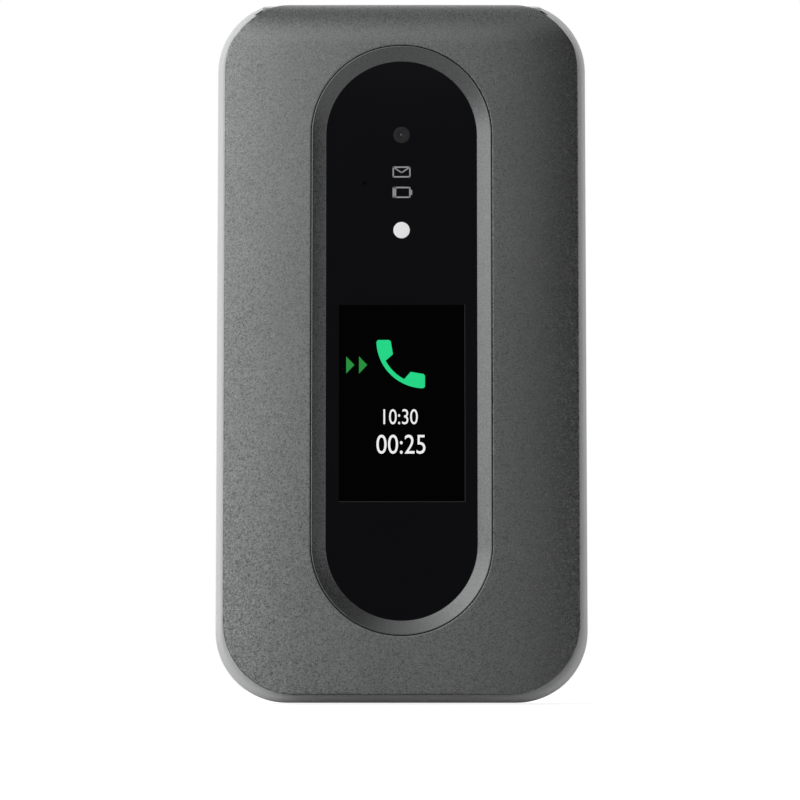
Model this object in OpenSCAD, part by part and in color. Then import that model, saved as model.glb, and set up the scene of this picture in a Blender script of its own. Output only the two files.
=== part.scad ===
// Flip phone, closed and standing on its flat bottom end.
// Millimetres. X runs across the phone, +Y from the lid's face to the back, +Z up to the hinge.
// The origin is the middle of the bottom end.

/* [Overall] */
// Width across both halves
body_w = 56.4; // [55.4:0.2:60]
// Height from the bottom end to the top of the hinge roll
body_h = 107.4; // [105.4:0.2:112]
// Corner radius of the outline seen from the front
corner_r = 10.8; // [9.8:0.2:11]
// Height of the curved cut on the edges of the pale side bands
shoulder = 1.05; // [0.8:0.05:1.2]
// How much rounder the outer cover's corners are than the outline's
corner_ease = 0.2; // [0:0.05:0.3]

/* [Lid] */
// Thickness of the lid, from the crown to the parting plane
lid_t = 8.6; // [8.4:0.1:9.2]
// Radius of the outer cover's crown across its width
crown_r = 170; // [150:5:220]
// How far the outer cover's side edge lies inside the pale band
cover_inset = 1.2; // [0.9:0.05:1.3]
// Wall of the outer cover
cover_wall = 1.2; // [1:0.05:1.25]
// Depth of the outer cover's side below the crown
cover_depth = 3.9; // [3.7:0.1:4.1]
// Wall round the lid frame
frame_wall = 2.2; // [2:0.1:2.6]
// Thickness of the lid frame's inner plate
frame_plate = 1.2; // [1.1:0.05:1.3]

/* [Front window] */
// Width of the pill-shaped front window
pill_w = 22.8; // [22.4:0.2:23.2]
// Distance from the front window's upper end to the top of the phone
pill_margin = 9.9; // [8.4:0.1:11]
// Height of the window's lower end
pill_z = 12.4; // [12:0.2:13]
// Width of the bevelled trim round the window
trim_w = 2.3; // [1.8:0.1:2.5]
// Depth of the window below the crown
pill_depth = 1.4; // [1.2:0.1:1.5]
// Thickness of the window
pill_t = 0.8; // [0.6:0.05:0.9]

/* [Base] */
// Thickness of the base, without the lid
base_t = 10; // [9.8:0.1:11]
// Gap between the closed halves
part_gap = 0.4; // [0.35:0.05:0.5]
// Wall round the base
base_wall = 1.5; // [1.3:0.1:1.7]
// Depth of the front housing
front_depth = 2.3; // [2.2:0.05:2.4]
// Height of the back cover over the pale band
back_rise = 2.55; // [2.4:0.05:2.7]
// Wall of the back cover
back_wall = 1; // [0.8:0.05:1.1]

/* [Hinge] */
// Outer radius of the lid's roll round the hinge axis
roll_r = 7.1; // [7:0.05:7.2]
// Radius of the base's centre knuckle
knuckle_r = 4.2; // [4.1:0.05:4.3]
// Half the length of the centre knuckle
knuckle_half = 17.9; // [16:0.1:18.5]
// Radius of the bore through the centre knuckle
hinge_bore_r = 3; // [2.9:0.05:3.1]
// How far the lid opens, in degrees
open_angle = 150; // [120:1:156]
// Angle of the roll that the outer cover wraps, from its face over the top
wrap_angle = 112; // [105:1:112]

/* [Keys] */
// Width of a number key
key_w = 14.8; // [14:0.1:15]
// Height of a number key
key_h = 8.6; // [8:0.1:8.8]
// Distance between key columns
key_pitch_x = 16.2; // [16:0.1:16.4]
// Distance between key rows
key_pitch_z = 10.4; // [10:0.1:10.6]
// Height of the bottom row's centre
key_row_z = 9.2; // [9:0.1:9.6]
// How far a key stands proud of the deck
key_proud = 0.42; // [0.3:0.02:0.45]
// Travel of a key
key_travel = 0.35; // [0.25:0.01:0.36]
// Outer radius of the arrow ring
ring_r = 12; // [11.5:0.1:12.2]
// Radius of the OK key in the arrow ring
ok_r = 5.2; // [4.8:0.1:5.4]

/* [Screens and battery] */
// Width of the inner screen's window
inner_w = 47; // [46:0.5:47.5]
// Distance from the inner screen's window up to the hinge opening
inner_margin = 3.2; // [3.1:0.1:5]
// Thickness of the main circuit board
board_t = 0.8; // [0.6:0.05:0.9]
// Width of the battery
battery_w = 36; // [34:0.5:38]
// Length kept above the battery for the speaker, the circuits and the hinge
upper_room = 50; // [49.6:0.2:54]
// Radius of the headset plug's socket
jack_r = 1.8; // [1.78:0.01:1.85]

/* [Hidden] */
$fn = 64;

// clearances and thin walls
slip = 0.05;
seat = 0.1;
free = 0.3;
thin = 0.6;
far = 200;

// planes along Y, from the lid's face to the back
lid_front_y = -(lid_t + part_gap + base_t) / 2;
lid_back_y = lid_front_y + lid_t;
cover_back_y = lid_front_y + cover_depth;
base_front_y = lid_back_y + part_gap;
split_y = base_front_y + front_depth;
back_y = base_front_y + base_t;
band_back_y = back_y - back_rise;
deck_recess = 0.3;
deck_y = base_front_y + deck_recess;
deck_t = 1.1;
deck_back_y = deck_y + deck_t;
flange_t = 0.5;
flange_y = deck_back_y + seat;
nub_l = 0.35;
nub_end_y = flange_y + flange_t + nub_l;
dome_y = nub_end_y + key_travel + slip;
dome_t = 0.1;
board_y = dome_y + dome_t;
board_back_y = board_y + board_t;

// outline
half_w = body_w / 2;
cover_half = half_w - cover_inset;
cover_corner = corner_r + corner_ease;
back_corner = corner_r - cover_inset + slip;
cover_chamfer = 0.6;
crown_skim = 0.03;

// hinge
hinge_y = lid_front_y + roll_r;
hinge_z = body_h - roll_r;
recess_r = roll_r + free;
frame_roll_r = roll_r - free;
cheek_x = knuckle_half + free;
cheek_end = half_w - cover_inset - cover_wall - seat;
skin_r = roll_r - cover_wall;
skin_end = frame_roll_r - 0.2;
neck_front = 2.6;
neck_back = 0.1;
foot_top = recess_r + seat;
foot_t = 1.7;
notch_gap = 0.5;
notch_z = hinge_z - foot_top - foot_t - notch_gap;
foot_reach = hinge_z - notch_z - free;
lip_gap = 0.45;
lip_round = 0.9;
lip_y = recess_r * cos(180 - open_angle + acos(roll_r / recess_r)) + lip_gap;

// front window and what lies behind it
pill_y = lid_front_y + pill_depth;
pill_back_y = pill_y + pill_t;
pill_top = body_h - pill_margin;
pill_l = pill_top - pill_z;
pill_r = pill_w / 2;
trim_r = pill_r + trim_w;
trim_back = 1.1;
camera_z = pill_top - pill_r + 0.25;
camera_size = 6;
display_corner = 0.8;
lens_t = 0.9;
icons_z = camera_z - 7.25;
icons_size = [5, 5.6, 1.2];
icon_corner = 0.4;
flash_z = camera_z - 14.55;
flash_r = 2.2;
flash_die = 3.2;
outer_display_z = pill_z + 16.5;
outer_display_size = [pill_w - 1.6, flash_z - flash_r - 7.7 - outer_display_z, 1.3];
module_y = pill_back_y + slip;
lid_board_y = lid_back_y - 4.6;
lid_board_t = 0.6;
lid_board_z = [10, notch_z - free];
lid_board_half = half_w - 10;

// inner face of the lid
inner_z = 18;
inner_h = notch_z - inner_margin - inner_z;
inner_corner = 3;
inner_t = 0.85;
ledge = 0.8;
inner_y = lid_back_y - frame_plate + seat;
screen_size = [inner_w - 1.4, inner_h - 7];
screen_z = inner_z + 1.5;
screen_t = 1.9;
screen_y = lid_back_y - frame_plate - slip - screen_t;
ear_slot = [12, 1.6];
ear_corner = 0.7;
ear_size = [14, 4.4, 0.8];
ear_holes = 4;
ear_hole_pitch = 1.2;
ear_hole_r = 0.3;
ear_z = inner_z + inner_h - 3.2;
bumper_r = 1.2;
bumper_high = 0.35;
bumper_x = [half_w - 7, half_w - 16];
bumper_z = [notch_z - 1.75, 2.4];
bumpers = [for (s = [-1, 1], i = [0, 1]) [s * bumper_x[i], bumper_z[i]]];
screw_r = 0.8;
post_r = 1.4;
screw_head_r = 1.4;
screw_bite = 0.4;
lid_head_t = 0.5;
lid_head_y = lid_back_y - 0.3 - lid_head_t;
lid_boss_r = 1.4;
lid_boss_y = lid_front_y + cover_wall + 1.6;
lid_screw_x = half_w - 3.8;
lid_screws_at = [for (s = [-1, 1], z = [inner_z - 5, notch_z - 1.9]) [s * lid_screw_x, z]];
magnet_size = [8, 1.5, 3];
magnet_z = inner_z - 5.5;

// base insides
bay_floor_t = 0.5;
bay_y = board_back_y + seat;
battery_z = 7.4;
battery_h = body_h - upper_room - battery_z;
battery_gap = 0.3;
battery_y = bay_y + bay_floor_t + seat;
battery_t = back_y - back_wall - battery_gap - battery_y;
bay_wall = 1;
cell_corner = 1.2;
blade_pitch = 4;
blade_half = 0.6;
blade_y = [0.4, 3];
blade_gap = 0.04;
cell_back_y = battery_y + battery_t;
cap_y = cell_back_y - bay_wall;
upper_z = battery_z + battery_h + battery_gap + bay_wall + free;
back_z = cover_inset;
back_top = body_h - cover_inset;
back_fillet = 2.3;
port_y = (split_y + band_back_y) / 2;
usb_size = [8.94, 3.2, 5.8];
usb_wall = 0.35;
tongue = [3.3, 0.35];
jack_z = notch_z - 7.2;
jack_size = [12, 4.6, 5.4];
jack_collar = 0.4;
rocker_z = notch_z - 15.2;
rocker_size = [22, 2.2];
rocker_scoop = 0.45;
scoop_margin = [0.5, 1.6];
rocker_proud = 0.35;
rocker_swing = 0.45;
rocker_r = 160;
rocker_flange = [0.8, 0.8];
rocker_pivot_r = 0.6;
rocker_pivot_x = half_w - base_wall - rocker_swing - rocker_flange[0];
assist_z = upper_z + 17;
assist_r = 6.2;
assist_travel = 0.5;
assist_gap = 0.25;
assist_dish = 22.5;
assist_y = cell_back_y + assist_travel + seat;
assist_stem_r = 2;
can_h = 1.3;
can_step = 3;
board_gap = 0.2;
number_top = key_row_z + 3 * key_pitch_z + key_h / 2;
bay_x = battery_w / 2 + battery_gap + bay_wall;
base_screws_at = [for (s = [-1, 1]) each [[s * (bay_x + 3.2), number_top + 4],
                                          [s * (half_w - 11.5), base_wall + post_r + 0.07]]];
base_head_y = bay_y + bay_wall + slip / 2;
base_head_t = 0.9;
cap_inset = base_wall + back_wall + 0.4;
mic_x = 7;
mic_z = 2.2;
mic_slot = [2.4, 0.7, 0.3];
mic_size = [3.6, 1.6];
speaker_z = upper_z + 3.4;
speaker_size = [17, 9, 1.5];
speaker_rise = 1.6;
speaker_slot = [1, 7, 0.45];
speaker_pitch = 2.2;
motor_r = 4;
motor_t = 2.75;
motor_at = [half_w - 9, upper_z + 16];
can_x = [base_wall + jack_size[0] - half_w + 1.5, 6];
can_z = [upper_z, upper_z + 11, upper_z + 13, notch_z - 2];
antenna_half = half_w - 7;
antenna_z = [notch_z - 3.2, notch_z + 4.8];
sim_size = [3.6, 25, 1.4];
sim_gap = 0.7;
sim_z = battery_z + 12.6;
contact_x = 10.5;
contact_size = [4, 2];
contact_sunk = 0.2;
contact_rise = 0.8;

// keys: name, centre x, centre z, width, height, corner radius
row_names = [["key_star", "key_0", "key_hash"], ["key_7", "key_8", "key_9"],
             ["key_4", "key_5", "key_6"], ["key_1", "key_2", "key_3"]];
number_keys = [for (row = [0 : 3]) for (col = [0 : 2])
    [row_names[row][col], (col - 1) * key_pitch_x, key_row_z + row * key_pitch_z, key_w, key_h, 2.6]];
number_gap = 9.6;
ring_z = number_top + number_gap + ring_r;
side_key = 11;
side_key_x = 18.1;
side_key_rise = 8.2;
side_keys = [["key_soft_left", -side_key_x, ring_z + side_key_rise, side_key, side_key, 2.6],
             ["key_soft_right", side_key_x, ring_z + side_key_rise, side_key, side_key, 2.6],
             ["key_call", -side_key_x, ring_z - side_key_rise, side_key, side_key, 2.6],
             ["key_end", side_key_x, ring_z - side_key_rise, side_key, side_key, 2.6]];
plain_keys = concat(number_keys, side_keys);
// arrow keys: name and the angle of each one's middle
arrow_keys = [["key_up", 90], ["key_left", 180], ["key_down", 270], ["key_right", 0]];
key_gap = 0.15;
arrow_gap = 0.5;
flange_lip = 0.45;
nub_r = 1.3;
deck_x = 24.6;
deck_z = [4, notch_z - 3];
deck_corner = corner_r - 4;
dome_margin = 0.7;
dome_inset = 1.6;

// ---- shapes that the pieces share ----

// Extrudes an x-z outline between two planes along Y
module along_y(y0, y1) {
    translate([0, y1, 0]) rotate([90, 0, 0]) linear_extrude(y1 - y0) children();
}

// Extrudes a y-z outline between two planes along X
module along_x(x0, x1) {
    translate([x0, 0, 0]) rotate([90, 0, 90]) linear_extrude(x1 - x0) children();
}

// A box from its lowest to its highest corner
module span(low, high) {
    translate(low) cube(high - low);
}

// A rod along X between two planes, on an axis at y, z
module rod_x(x0, x1, r, y, z) {
    translate([x0, y, z]) rotate([0, 90, 0]) cylinder(r = r, h = x1 - x0);
}

// A rod along Y between two planes, on an axis at x, z
module rod_y(y0, y1, r, x, z) {
    translate([x, y1, z]) rotate([90, 0, 0]) cylinder(r = r, h = y1 - y0);
}

// A rectangle with round corners
module round_rect(w, h, r) {
    square([w - 2 * r, h], center = true);
    square([w, h - 2 * r], center = true);
    for (sx = [-1, 1], sz = [-1, 1])
        translate([sx * (w / 2 - r), sz * (h / 2 - r)]) circle(r);
}

// The phone's front outline, drawn in by a distance at the sides and bottom
module outline(half, z0, z1, r) {
    translate([0, (z0 + z1) / 2]) round_rect(2 * half, z1 - z0, r);
}

// A pill outline with full-round ends
module pill(r, z0, z1) {
    translate([-r, z0 + r]) square([2 * r, z1 - z0 - 2 * r]);
    for (z = [z0 + r, z1 - r]) translate([0, z]) circle(r);
}

// Cross-section of a slab: width 2 * half from y0 to y1, edges rounded at the front and the back
module slab_section(half, y0, y1, front, back) {
    translate([-half, y0 + front]) square([2 * half, y1 - back - y0 - front]);
    translate([-half + front, y0]) square([2 * (half - front), y1 - y0 - back]);
    translate([-half + back, y0 + front]) square([2 * (half - back), y1 - y0 - front]);
    for (s = [-1, 1]) {
        if (front > 0) translate([s * (half - front), y0 + front]) circle(front);
        if (back > 0) translate([s * (half - back), y1 - back]) circle(back);
    }
}

// A slab with a rounded outline, whose front and back edges are rounded all the way round
module soft_slab(half, z0, z1, r, y0, y1, front, back) {
    translate([0, 0, z0 + r]) linear_extrude(z1 - z0 - 2 * r)
        slab_section(half, y0, y1, front, back);
    translate([r - half, 0, (z0 + z1) / 2]) rotate([90, 0, 90]) linear_extrude(2 * (half - r))
        rotate(90) mirror([0, 1]) slab_section((z1 - z0) / 2, y0, y1, front, back);
    for (sx = [-1, 1], z = [z0 + r, z1 - r])
        translate([sx * (half - r), 0, z]) rotate([-90, 0, 0]) rotate_extrude()
            intersection() {
                slab_section(r, y0, y1, front, back);
                translate([0, -far / 2]) square([r + 1, far]);
            }
}

// What is left of the lid at the top: all below the hinge axis, and a roll about it
module roll_region(r) {
    span([-far, -far, -far], [far, far, hinge_z]);
    rod_x(-far, far, r, hinge_y, hinge_z);
}

// The outer cover's form, drawn in by d on every side
module cover_form(d) {
    intersection() {
        along_y(-far, far)
            outline(cover_half - d, back_z + d, body_h + slip, max(cover_corner - d, 1));
        crown_prism(d);
        roll_region(roll_r - d);
    }
}

// The cover's crowned front with its chamfered side edges, drawn in by d, run up the phone
module crown_prism(d) {
    edge = cover_half - d;
    edge_y = lid_front_y + crown_r - sqrt(crown_r * crown_r - cover_half * cover_half) + d;
    slant = 2 * roll_r;
    linear_extrude(far) intersection() {
        translate([0, lid_front_y + crown_r]) circle(crown_r - crown_skim - d, $fn = 256);
        polygon([[-edge, far], [-edge, edge_y + cover_chamfer],
            [slant - edge, edge_y + cover_chamfer - slant],
            [edge - slant, edge_y + cover_chamfer - slant],
            [edge, edge_y + cover_chamfer], [edge, far]]);
    }
}

// The wedge about the hinge axis behind the end of the cover's wrap
module behind_wrap() {
    translate([0, hinge_y, hinge_z]) rotate([180 - wrap_angle, 0, 0])
        span([-far, -far, -far], [far, far, 0]);
}

// ---- lid ----

module outer_cover() {
    color([0.27, 0.28, 0.28]) difference() {
        cover_form(0);
        intersection() {
            cover_form(cover_wall);
            span([-far, -far, -far], [far, far, hinge_z]);
        }
        intersection() {
            inner_crown(cover_wall);
            rod_x(-far, far, skin_r, hinge_y, hinge_z);
            span([-far, -far, hinge_z - slip], [far, far, far]);
        }
        span([-far, cover_back_y, -far], [far, far, hinge_z - seat]);
        span([-far, cover_back_y, hinge_z - 2 * seat], [far, hinge_y + seat, hinge_z + seat]);
        span([-far, hinge_y, -far], [far, far, hinge_z + seat]);
        intersection() {
            behind_wrap();
            span([-far, hinge_y, hinge_z], [far, far, far]);
        }
        along_y(-far, hinge_y - neck_front)
            pill(trim_r + slip, pill_z - trim_w - slip, pill_top + trim_w + slip);
    }
    color([0.27, 0.28, 0.28]) for (p = lid_screws_at) difference() {
        rod_y(lid_boss_y, lid_back_y - frame_plate - slip, lid_boss_r, p[0], p[1]);
        rod_y(cover_back_y, far, screw_r - slip, p[0], p[1]);
    }
}

// The space inside the crown, drawn in by d
module inner_crown(d) {
    translate([0, lid_front_y + crown_r, 0]) cylinder(r = crown_r - d, h = far, $fn = 256);
}

module window_trim() {
    color([0.3, 0.31, 0.31]) difference() {
        intersection() {
            cover_form(0);
            along_y(-far, pill_back_y + trim_back) pill(trim_r, pill_z - trim_w, pill_top + trim_w);
        }
        along_y(-far, pill_y) pill(pill_r, pill_z, pill_top);
        along_y(pill_y - slip, far) pill(pill_r + thin, pill_z - thin, pill_top + thin);
        trim_bevel();
        knuckle_room();
    }
}

// The slope from the cover's face down to the window, as a cone at the ends and a wedge between
module trim_bevel() {
    rise = pill_depth - slip;
    top_y = lid_front_y - 1;
    slope = trim_w - slip;
    grow = slope * (pill_y - slip - top_y) / rise;
    for (z = [pill_z + pill_r, pill_top - pill_r])
        translate([0, pill_y - slip, z]) rotate([90, 0, 0])
            cylinder(r1 = pill_r, r2 = pill_r + grow, h = pill_y - slip - top_y);
    translate([0, 0, pill_z + pill_r]) linear_extrude(pill_l - pill_w)
        polygon([[-pill_r, pill_y - slip], [pill_r, pill_y - slip],
                 [pill_r + grow, top_y], [-pill_r - grow, top_y]]);
}

// Room for the base's knuckle to turn inside the lid
module knuckle_room() {
    rod_x(-cheek_x, cheek_x, knuckle_r + free, hinge_y, hinge_z);
}

module front_window() {
    color([0.02, 0.02, 0.02]) along_y(pill_y, pill_back_y)
        pill(pill_r + thin - slip, pill_z - thin + slip, pill_top + thin - slip);
}

module outer_display() {
    s = outer_display_size;
    color([0.1, 0.1, 0.12]) along_y(module_y, module_y + s[2])
        translate([0, outer_display_z + s[1] / 2]) round_rect(s[0], s[1], display_corner);
}

module camera_module() {
    color([0.12, 0.12, 0.13]) {
        along_y(module_y + lens_t - seat, lid_board_y - slip) translate([0, camera_z])
            square([camera_size, camera_size], center = true);
        rod_y(module_y, module_y + lens_t, camera_size / 2 - icon_corner, 0, camera_z);
    }
}

module flash_led() {
    color([0.95, 0.93, 0.85]) {
        rod_y(module_y, module_y + 0.5, flash_r, 0, flash_z);
        along_y(module_y + 0.5, lid_board_y - slip) translate([0, flash_z])
            square([flash_die, flash_die], center = true);
    }
}

module status_icons() {
    color([0.75, 0.75, 0.75]) along_y(module_y, module_y + icons_size[2])
        translate([0, icons_z]) round_rect(icons_size[0], icons_size[1], icon_corner);
}

module lid_board() {
    color([0.05, 0.3, 0.15]) along_y(lid_board_y, lid_board_y + lid_board_t)
        outline(lid_board_half, lid_board_z[0], lid_board_z[1], 2);
}

module inner_display() {
    color([0.15, 0.15, 0.17]) span([-screen_size[0] / 2, screen_y, screen_z],
        [screen_size[0] / 2, screen_y + screen_t, screen_z + screen_size[1]]);
}

module inner_window() {
    color([0.02, 0.02, 0.025]) difference() {
        along_y(inner_y, inner_y + inner_t) outline(inner_w / 2 - slip, inner_z + slip,
            inner_z + inner_h - slip, inner_corner - slip);
        along_y(-far, far) translate([0, ear_z]) round_rect(ear_slot[0], ear_slot[1], ear_corner);
    }
}

module lid_frame() {
    color([0.86, 0.87, 0.87]) difference() {
        union() {
            intersection() {
                soft_slab(half_w, 0, body_h, corner_r, cover_back_y + slip, lid_back_y, shoulder, 0);
                roll_region(frame_roll_r);
            }
            cheeks();
        }
        lid_cavity();
        skin_room();
        span([-cheek_x, -far, notch_z], [cheek_x, far, far]);
        along_y(inner_y, far) outline(inner_w / 2, inner_z, inner_z + inner_h, inner_corner);
        along_y(-far, far) outline(inner_w / 2 - ledge, inner_z + ledge,
            inner_z + inner_h - ledge, inner_corner - ledge);
        for (b = bumpers) rod_y(lid_back_y - thin, far, bumper_r + slip, b[0], b[1]);
        rod_x(cheek_x - 1, cheek_end - free, hinge_boss_r + slip / 2, hinge_y, hinge_z);
        rod_x(-cheek_end + free, 1 - cheek_x, bush_r + slip / 2, hinge_y, hinge_z);
        for (p = lid_screws_at) {
            rod_y(-far, far, screw_r + slip, p[0], p[1]);
            rod_y(lid_head_y - slip, far, screw_head_r + seat, p[0], p[1]);
        }
    }
}

// Round ends of the lid's roll, which carry the hinge
module cheeks() {
    for (s = [0, 1]) mirror([s, 0, 0]) {
        intersection() {
            rod_x(cheek_x, half_w, skin_r - seat, hinge_y, hinge_z);
            crown_prism(cover_wall + seat);
            along_y(-far, far) outline(half_w - shoulder, 0, body_h - shoulder, corner_r - shoulder);
        }
        intersection() {
            union() {
                rod_x(cheek_end - slip, cover_half + 2 * slip, skin_r - seat, hinge_y, hinge_z);
                rod_x(cover_half + slip, half_w + 1, frame_roll_r, hinge_y, hinge_z);
                intersection() {
                    rod_x(cheek_x, half_w, frame_roll_r, hinge_y, hinge_z);
                    span([-far, -far, hinge_z + seat], [far, far, far]);
                }
            }
            soft_slab(half_w, 0, body_h, corner_r, cover_back_y + slip, far, shoulder, 0);
        }
    }
}

// Room in the frame for the outer cover's skin where it wraps over the hinge
module skin_room() {
    difference() {
        intersection() {
            union() {
                along_y(-far, far)
                    outline(cover_half + slip, 0, body_h + 2 * slip, cover_corner + slip);
                span([-far, -far, hinge_z + skin_end], [far, far, far]);
            }
            span([-far, -far, hinge_z + seat / 2], [far, far, far]);
        }
        rod_x(-far, far, skin_r - slip, hinge_y, hinge_z);
    }
}

// The hollow of the lid frame, in front of its inner plate
module lid_cavity() {
    along_y(-far, lid_back_y - frame_plate) {
        outline(half_w - frame_wall, frame_wall, notch_z, corner_r - frame_wall);
        translate([frame_wall - half_w, body_h / 2]) square([body_w - 2 * frame_wall, notch_z - body_h / 2]);
    }
}

module earpiece() {
    color([0.2, 0.2, 0.2]) along_y(screen_y, inner_y - slip)
        translate([0, ear_z]) round_rect(ear_size[0], ear_size[1], ear_size[2]);
}

module earpiece_mesh() {
    color([0.35, 0.35, 0.36]) along_y(inner_y + slip, inner_y + 0.25) difference() {
        translate([0, ear_z]) round_rect(ear_slot[0] - seat, ear_slot[1] - seat, ear_corner - seat);
        for (i = [-ear_holes : ear_holes]) translate([i * ear_hole_pitch, ear_z]) circle(ear_hole_r);
    }
}

module lid_magnet() {
    color([0.7, 0.7, 0.72]) span([-magnet_size[0] / 2, lid_back_y - frame_plate - slip - magnet_size[1],
        magnet_z - magnet_size[2] / 2],
        [magnet_size[0] / 2, lid_back_y - frame_plate - slip, magnet_z + magnet_size[2] / 2]);
}

module lid_bumpers() {
    color([0.6, 0.61, 0.61]) for (b = bumpers) {
        rod_y(lid_back_y - thin, lid_back_y + bumper_high, bumper_r, b[0], b[1]);
    }
}

module lid_screws() {
    color([0.6, 0.6, 0.62]) for (p = lid_screws_at) {
        rod_y(lid_head_y, lid_head_y + lid_head_t, screw_head_r, p[0], p[1]);
        rod_y(cover_back_y + thin, lid_head_y + slip, screw_r - 2 * slip, p[0], p[1]);
    }
}

// ---- hinge ----

shaft_r = 1.5;
hinge_boss_r = 2.4;
bush_r = hinge_bore_r - 0.06;
bush_bore_r = 2.1;
cartridge_x = [5, knuckle_half - free];
cartridge_wall = 0.6;
cartridge_end = 1;
cam_x = 13.4;
cam_t = 2;
cam_rise = 0.6;
shaft_x = 8;

module hinge_shaft() {
    color([0.62, 0.62, 0.64]) {
        rod_x(shaft_x, cheek_x + 2 * seat, shaft_r, hinge_y, hinge_z);
        rod_x(cheek_x + seat, cheek_end - free - slip, hinge_boss_r, hinge_y, hinge_z);
        rod_x(cam_x, cam_x + cam_t, shaft_r + cam_rise, hinge_y, hinge_z);
    }
}

module hinge_bush() {
    color([0.55, 0.55, 0.57]) difference() {
        rod_x(-cheek_end + free + slip, -shaft_x, bush_r, hinge_y, hinge_z);
        rod_x(-far, 0, bush_bore_r, hinge_y, hinge_z);
    }
}

module hinge_cartridge() {
    inner_r = hinge_bore_r - slip - cartridge_wall;
    color([0.66, 0.66, 0.68]) difference() {
        rod_x(cartridge_x[0], cartridge_x[1], hinge_bore_r - slip, hinge_y, hinge_z);
        rod_x(cartridge_x[0] + cartridge_end, cartridge_x[1] - cartridge_end, inner_r,
            hinge_y, hinge_z);
        rod_x(0, far, shaft_r + slip, hinge_y, hinge_z);
    }
}

// Coil spring round the hinge shaft, between the cartridge's end and the cam
spring_wire = 0.25;
spring_gap = 0.08;
spring_r = shaft_r + slip + spring_wire + spring_gap;
spring_x = [cartridge_x[0] + cartridge_end + spring_wire + slip, cam_x - spring_wire - slip];
spring_turns = 6;
spring_steps = 16;

module hinge_spring() {
    sides = 8;
    rings = spring_turns * spring_steps;
    points = [for (i = [0 : rings]) for (j = [0 : sides - 1])
        let (turn = 360 * i / spring_steps, a = 360 * j / sides,
             r = spring_r + spring_wire * cos(a),
             x = spring_x[0] + (spring_x[1] - spring_x[0]) * i / rings + spring_wire * sin(a))
        [x, hinge_y + r * cos(turn), hinge_z + r * sin(turn)]];
    walls = [for (i = [0 : rings - 1]) for (j = [0 : sides - 1])
        [i * sides + j, i * sides + (j + 1) % sides,
         (i + 1) * sides + (j + 1) % sides, (i + 1) * sides + j]];
    ends = [[for (j = [sides - 1 : -1 : 0]) j], [for (j = [0 : sides - 1]) rings * sides + j]];
    color([0.5, 0.5, 0.52]) polyhedron(points = points, faces = concat(walls, ends));
}

// ---- base ----

// Outline of one key in the deck, grown by g
module key_outline(k, g) {
    translate([k[1], k[2]]) round_rect(k[3] + 2 * g, k[4] + 2 * g, k[5] + g);
}

// Outline of one arrow key: a quarter of the ring, grown by g
module arrow_outline(angle, g) {
    side = (arrow_gap / 2 - g) * sqrt(2);
    translate([0, ring_z]) intersection() {
        difference() {
            circle(ring_r + g);
            circle(ok_r + arrow_gap - g);
        }
        rotate(angle) polygon([[side, 0], [far, far - side], [far, side - far]]);
    }
}

module base_front() {
    color([0.86, 0.87, 0.87]) difference() {
        union() {
            difference() {
                intersection() {
                    soft_slab(half_w, 0, body_h, corner_r, base_front_y, back_y, 0, 0);
                    span([-far, -far, -far], [far, split_y, hinge_z]);
                }
                along_y(deck_back_y, far) outline(half_w - base_wall, base_wall,
                    hinge_z, corner_r - base_wall);
                hinge_recess(0);
            }
            intersection() {
                ring_wall();
                along_y(base_front_y, split_y) outline(half_w - base_wall, 0, hinge_z, 1);
            }
            neck();
            for (p = base_screws_at) rod_y(deck_back_y - slip, board_y - slip, post_r, p[0], p[1]);
        }
        along_y(-far, deck_y) outline(deck_x, deck_z[0], deck_z[1], deck_corner);
        along_y(-far, far) for (k = plain_keys) key_outline(k, key_gap);
        along_y(-far, far) translate([0, ring_z]) circle(ring_r + key_gap);
        rod_x(-far, far, hinge_bore_r, hinge_y, hinge_z);
        for (p = base_screws_at) rod_y(deck_back_y - screw_bite, far, screw_r - slip, p[0], p[1]);
        along_y(-far, far) translate([mic_x, mic_z]) round_rect(mic_slot[0], mic_slot[1], mic_slot[2]);
    }
}

// The hollow that the lid's roll turns in, drawn out by d
module hinge_recess(d) {
    rod_x(-far, far, recess_r + d, hinge_y, hinge_z);
}

// The wall that closes the base behind the lid's roll
module ring_wall() {
    difference() {
        hinge_recess(base_wall - free);
        hinge_recess(0);
    }
}

// Centre knuckle, and the neck and foot that carry it
module neck() {
    rod_x(-knuckle_half, knuckle_half, knuckle_r, hinge_y, hinge_z);
    span([-knuckle_half, hinge_y - neck_front, hinge_z - foot_top - slip],
         [knuckle_half, hinge_y - neck_back, hinge_z - knuckle_r / 2]);
    difference() {
        span([-knuckle_half, hinge_y - neck_front, hinge_z - foot_top - foot_t],
             [knuckle_half, deck_back_y, hinge_z - foot_top]);
        difference() {
            span([-far, -far, -far], [far, hinge_y, far]);
            rod_x(-far, far, foot_reach, hinge_y, hinge_z);
        }
    }
}

module base_back() {
    color([0.84, 0.85, 0.85]) difference() {
        union() {
            difference() {
                intersection() {
                    soft_slab(half_w, 0, body_h, corner_r, base_front_y - 2, band_back_y, 0, shoulder);
                    behind_lip();
                }
                along_y(-far, far) outline(half_w - base_wall, base_wall, body_h - base_wall,
                    corner_r - base_wall);
                hinge_recess(0);
            }
            intersection() {
                ring_wall();
                along_y(split_y, band_back_y)
                    outline(half_w - base_wall, notch_z, body_h - slip, 1);
                behind_lip();
            }
            bay();
            upper_cap();
            for (p = base_screws_at)
                rod_y(board_back_y + slip, p[1] > battery_h ? cap_y + slip : bay_y + slip,
                    post_r + thin, p[0], p[1]);
        }
        battery_room();
        usb_room();
        jack_room();
        along_x(-far, slip - half_w + base_wall) translate([port_y, jack_z]) circle(jack_r + jack_collar);
        rocker_room();
        rod_y(cap_y - 1, far, assist_stem_r + free, 0, assist_z);
        for (p = base_screws_at) {
            rod_y(-far, far, screw_r + slip, p[0], p[1]);
            rod_y(bay_y + bay_wall, far, screw_head_r + seat, p[0], p[1]);
        }
        contact_room();
    }
}

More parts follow.
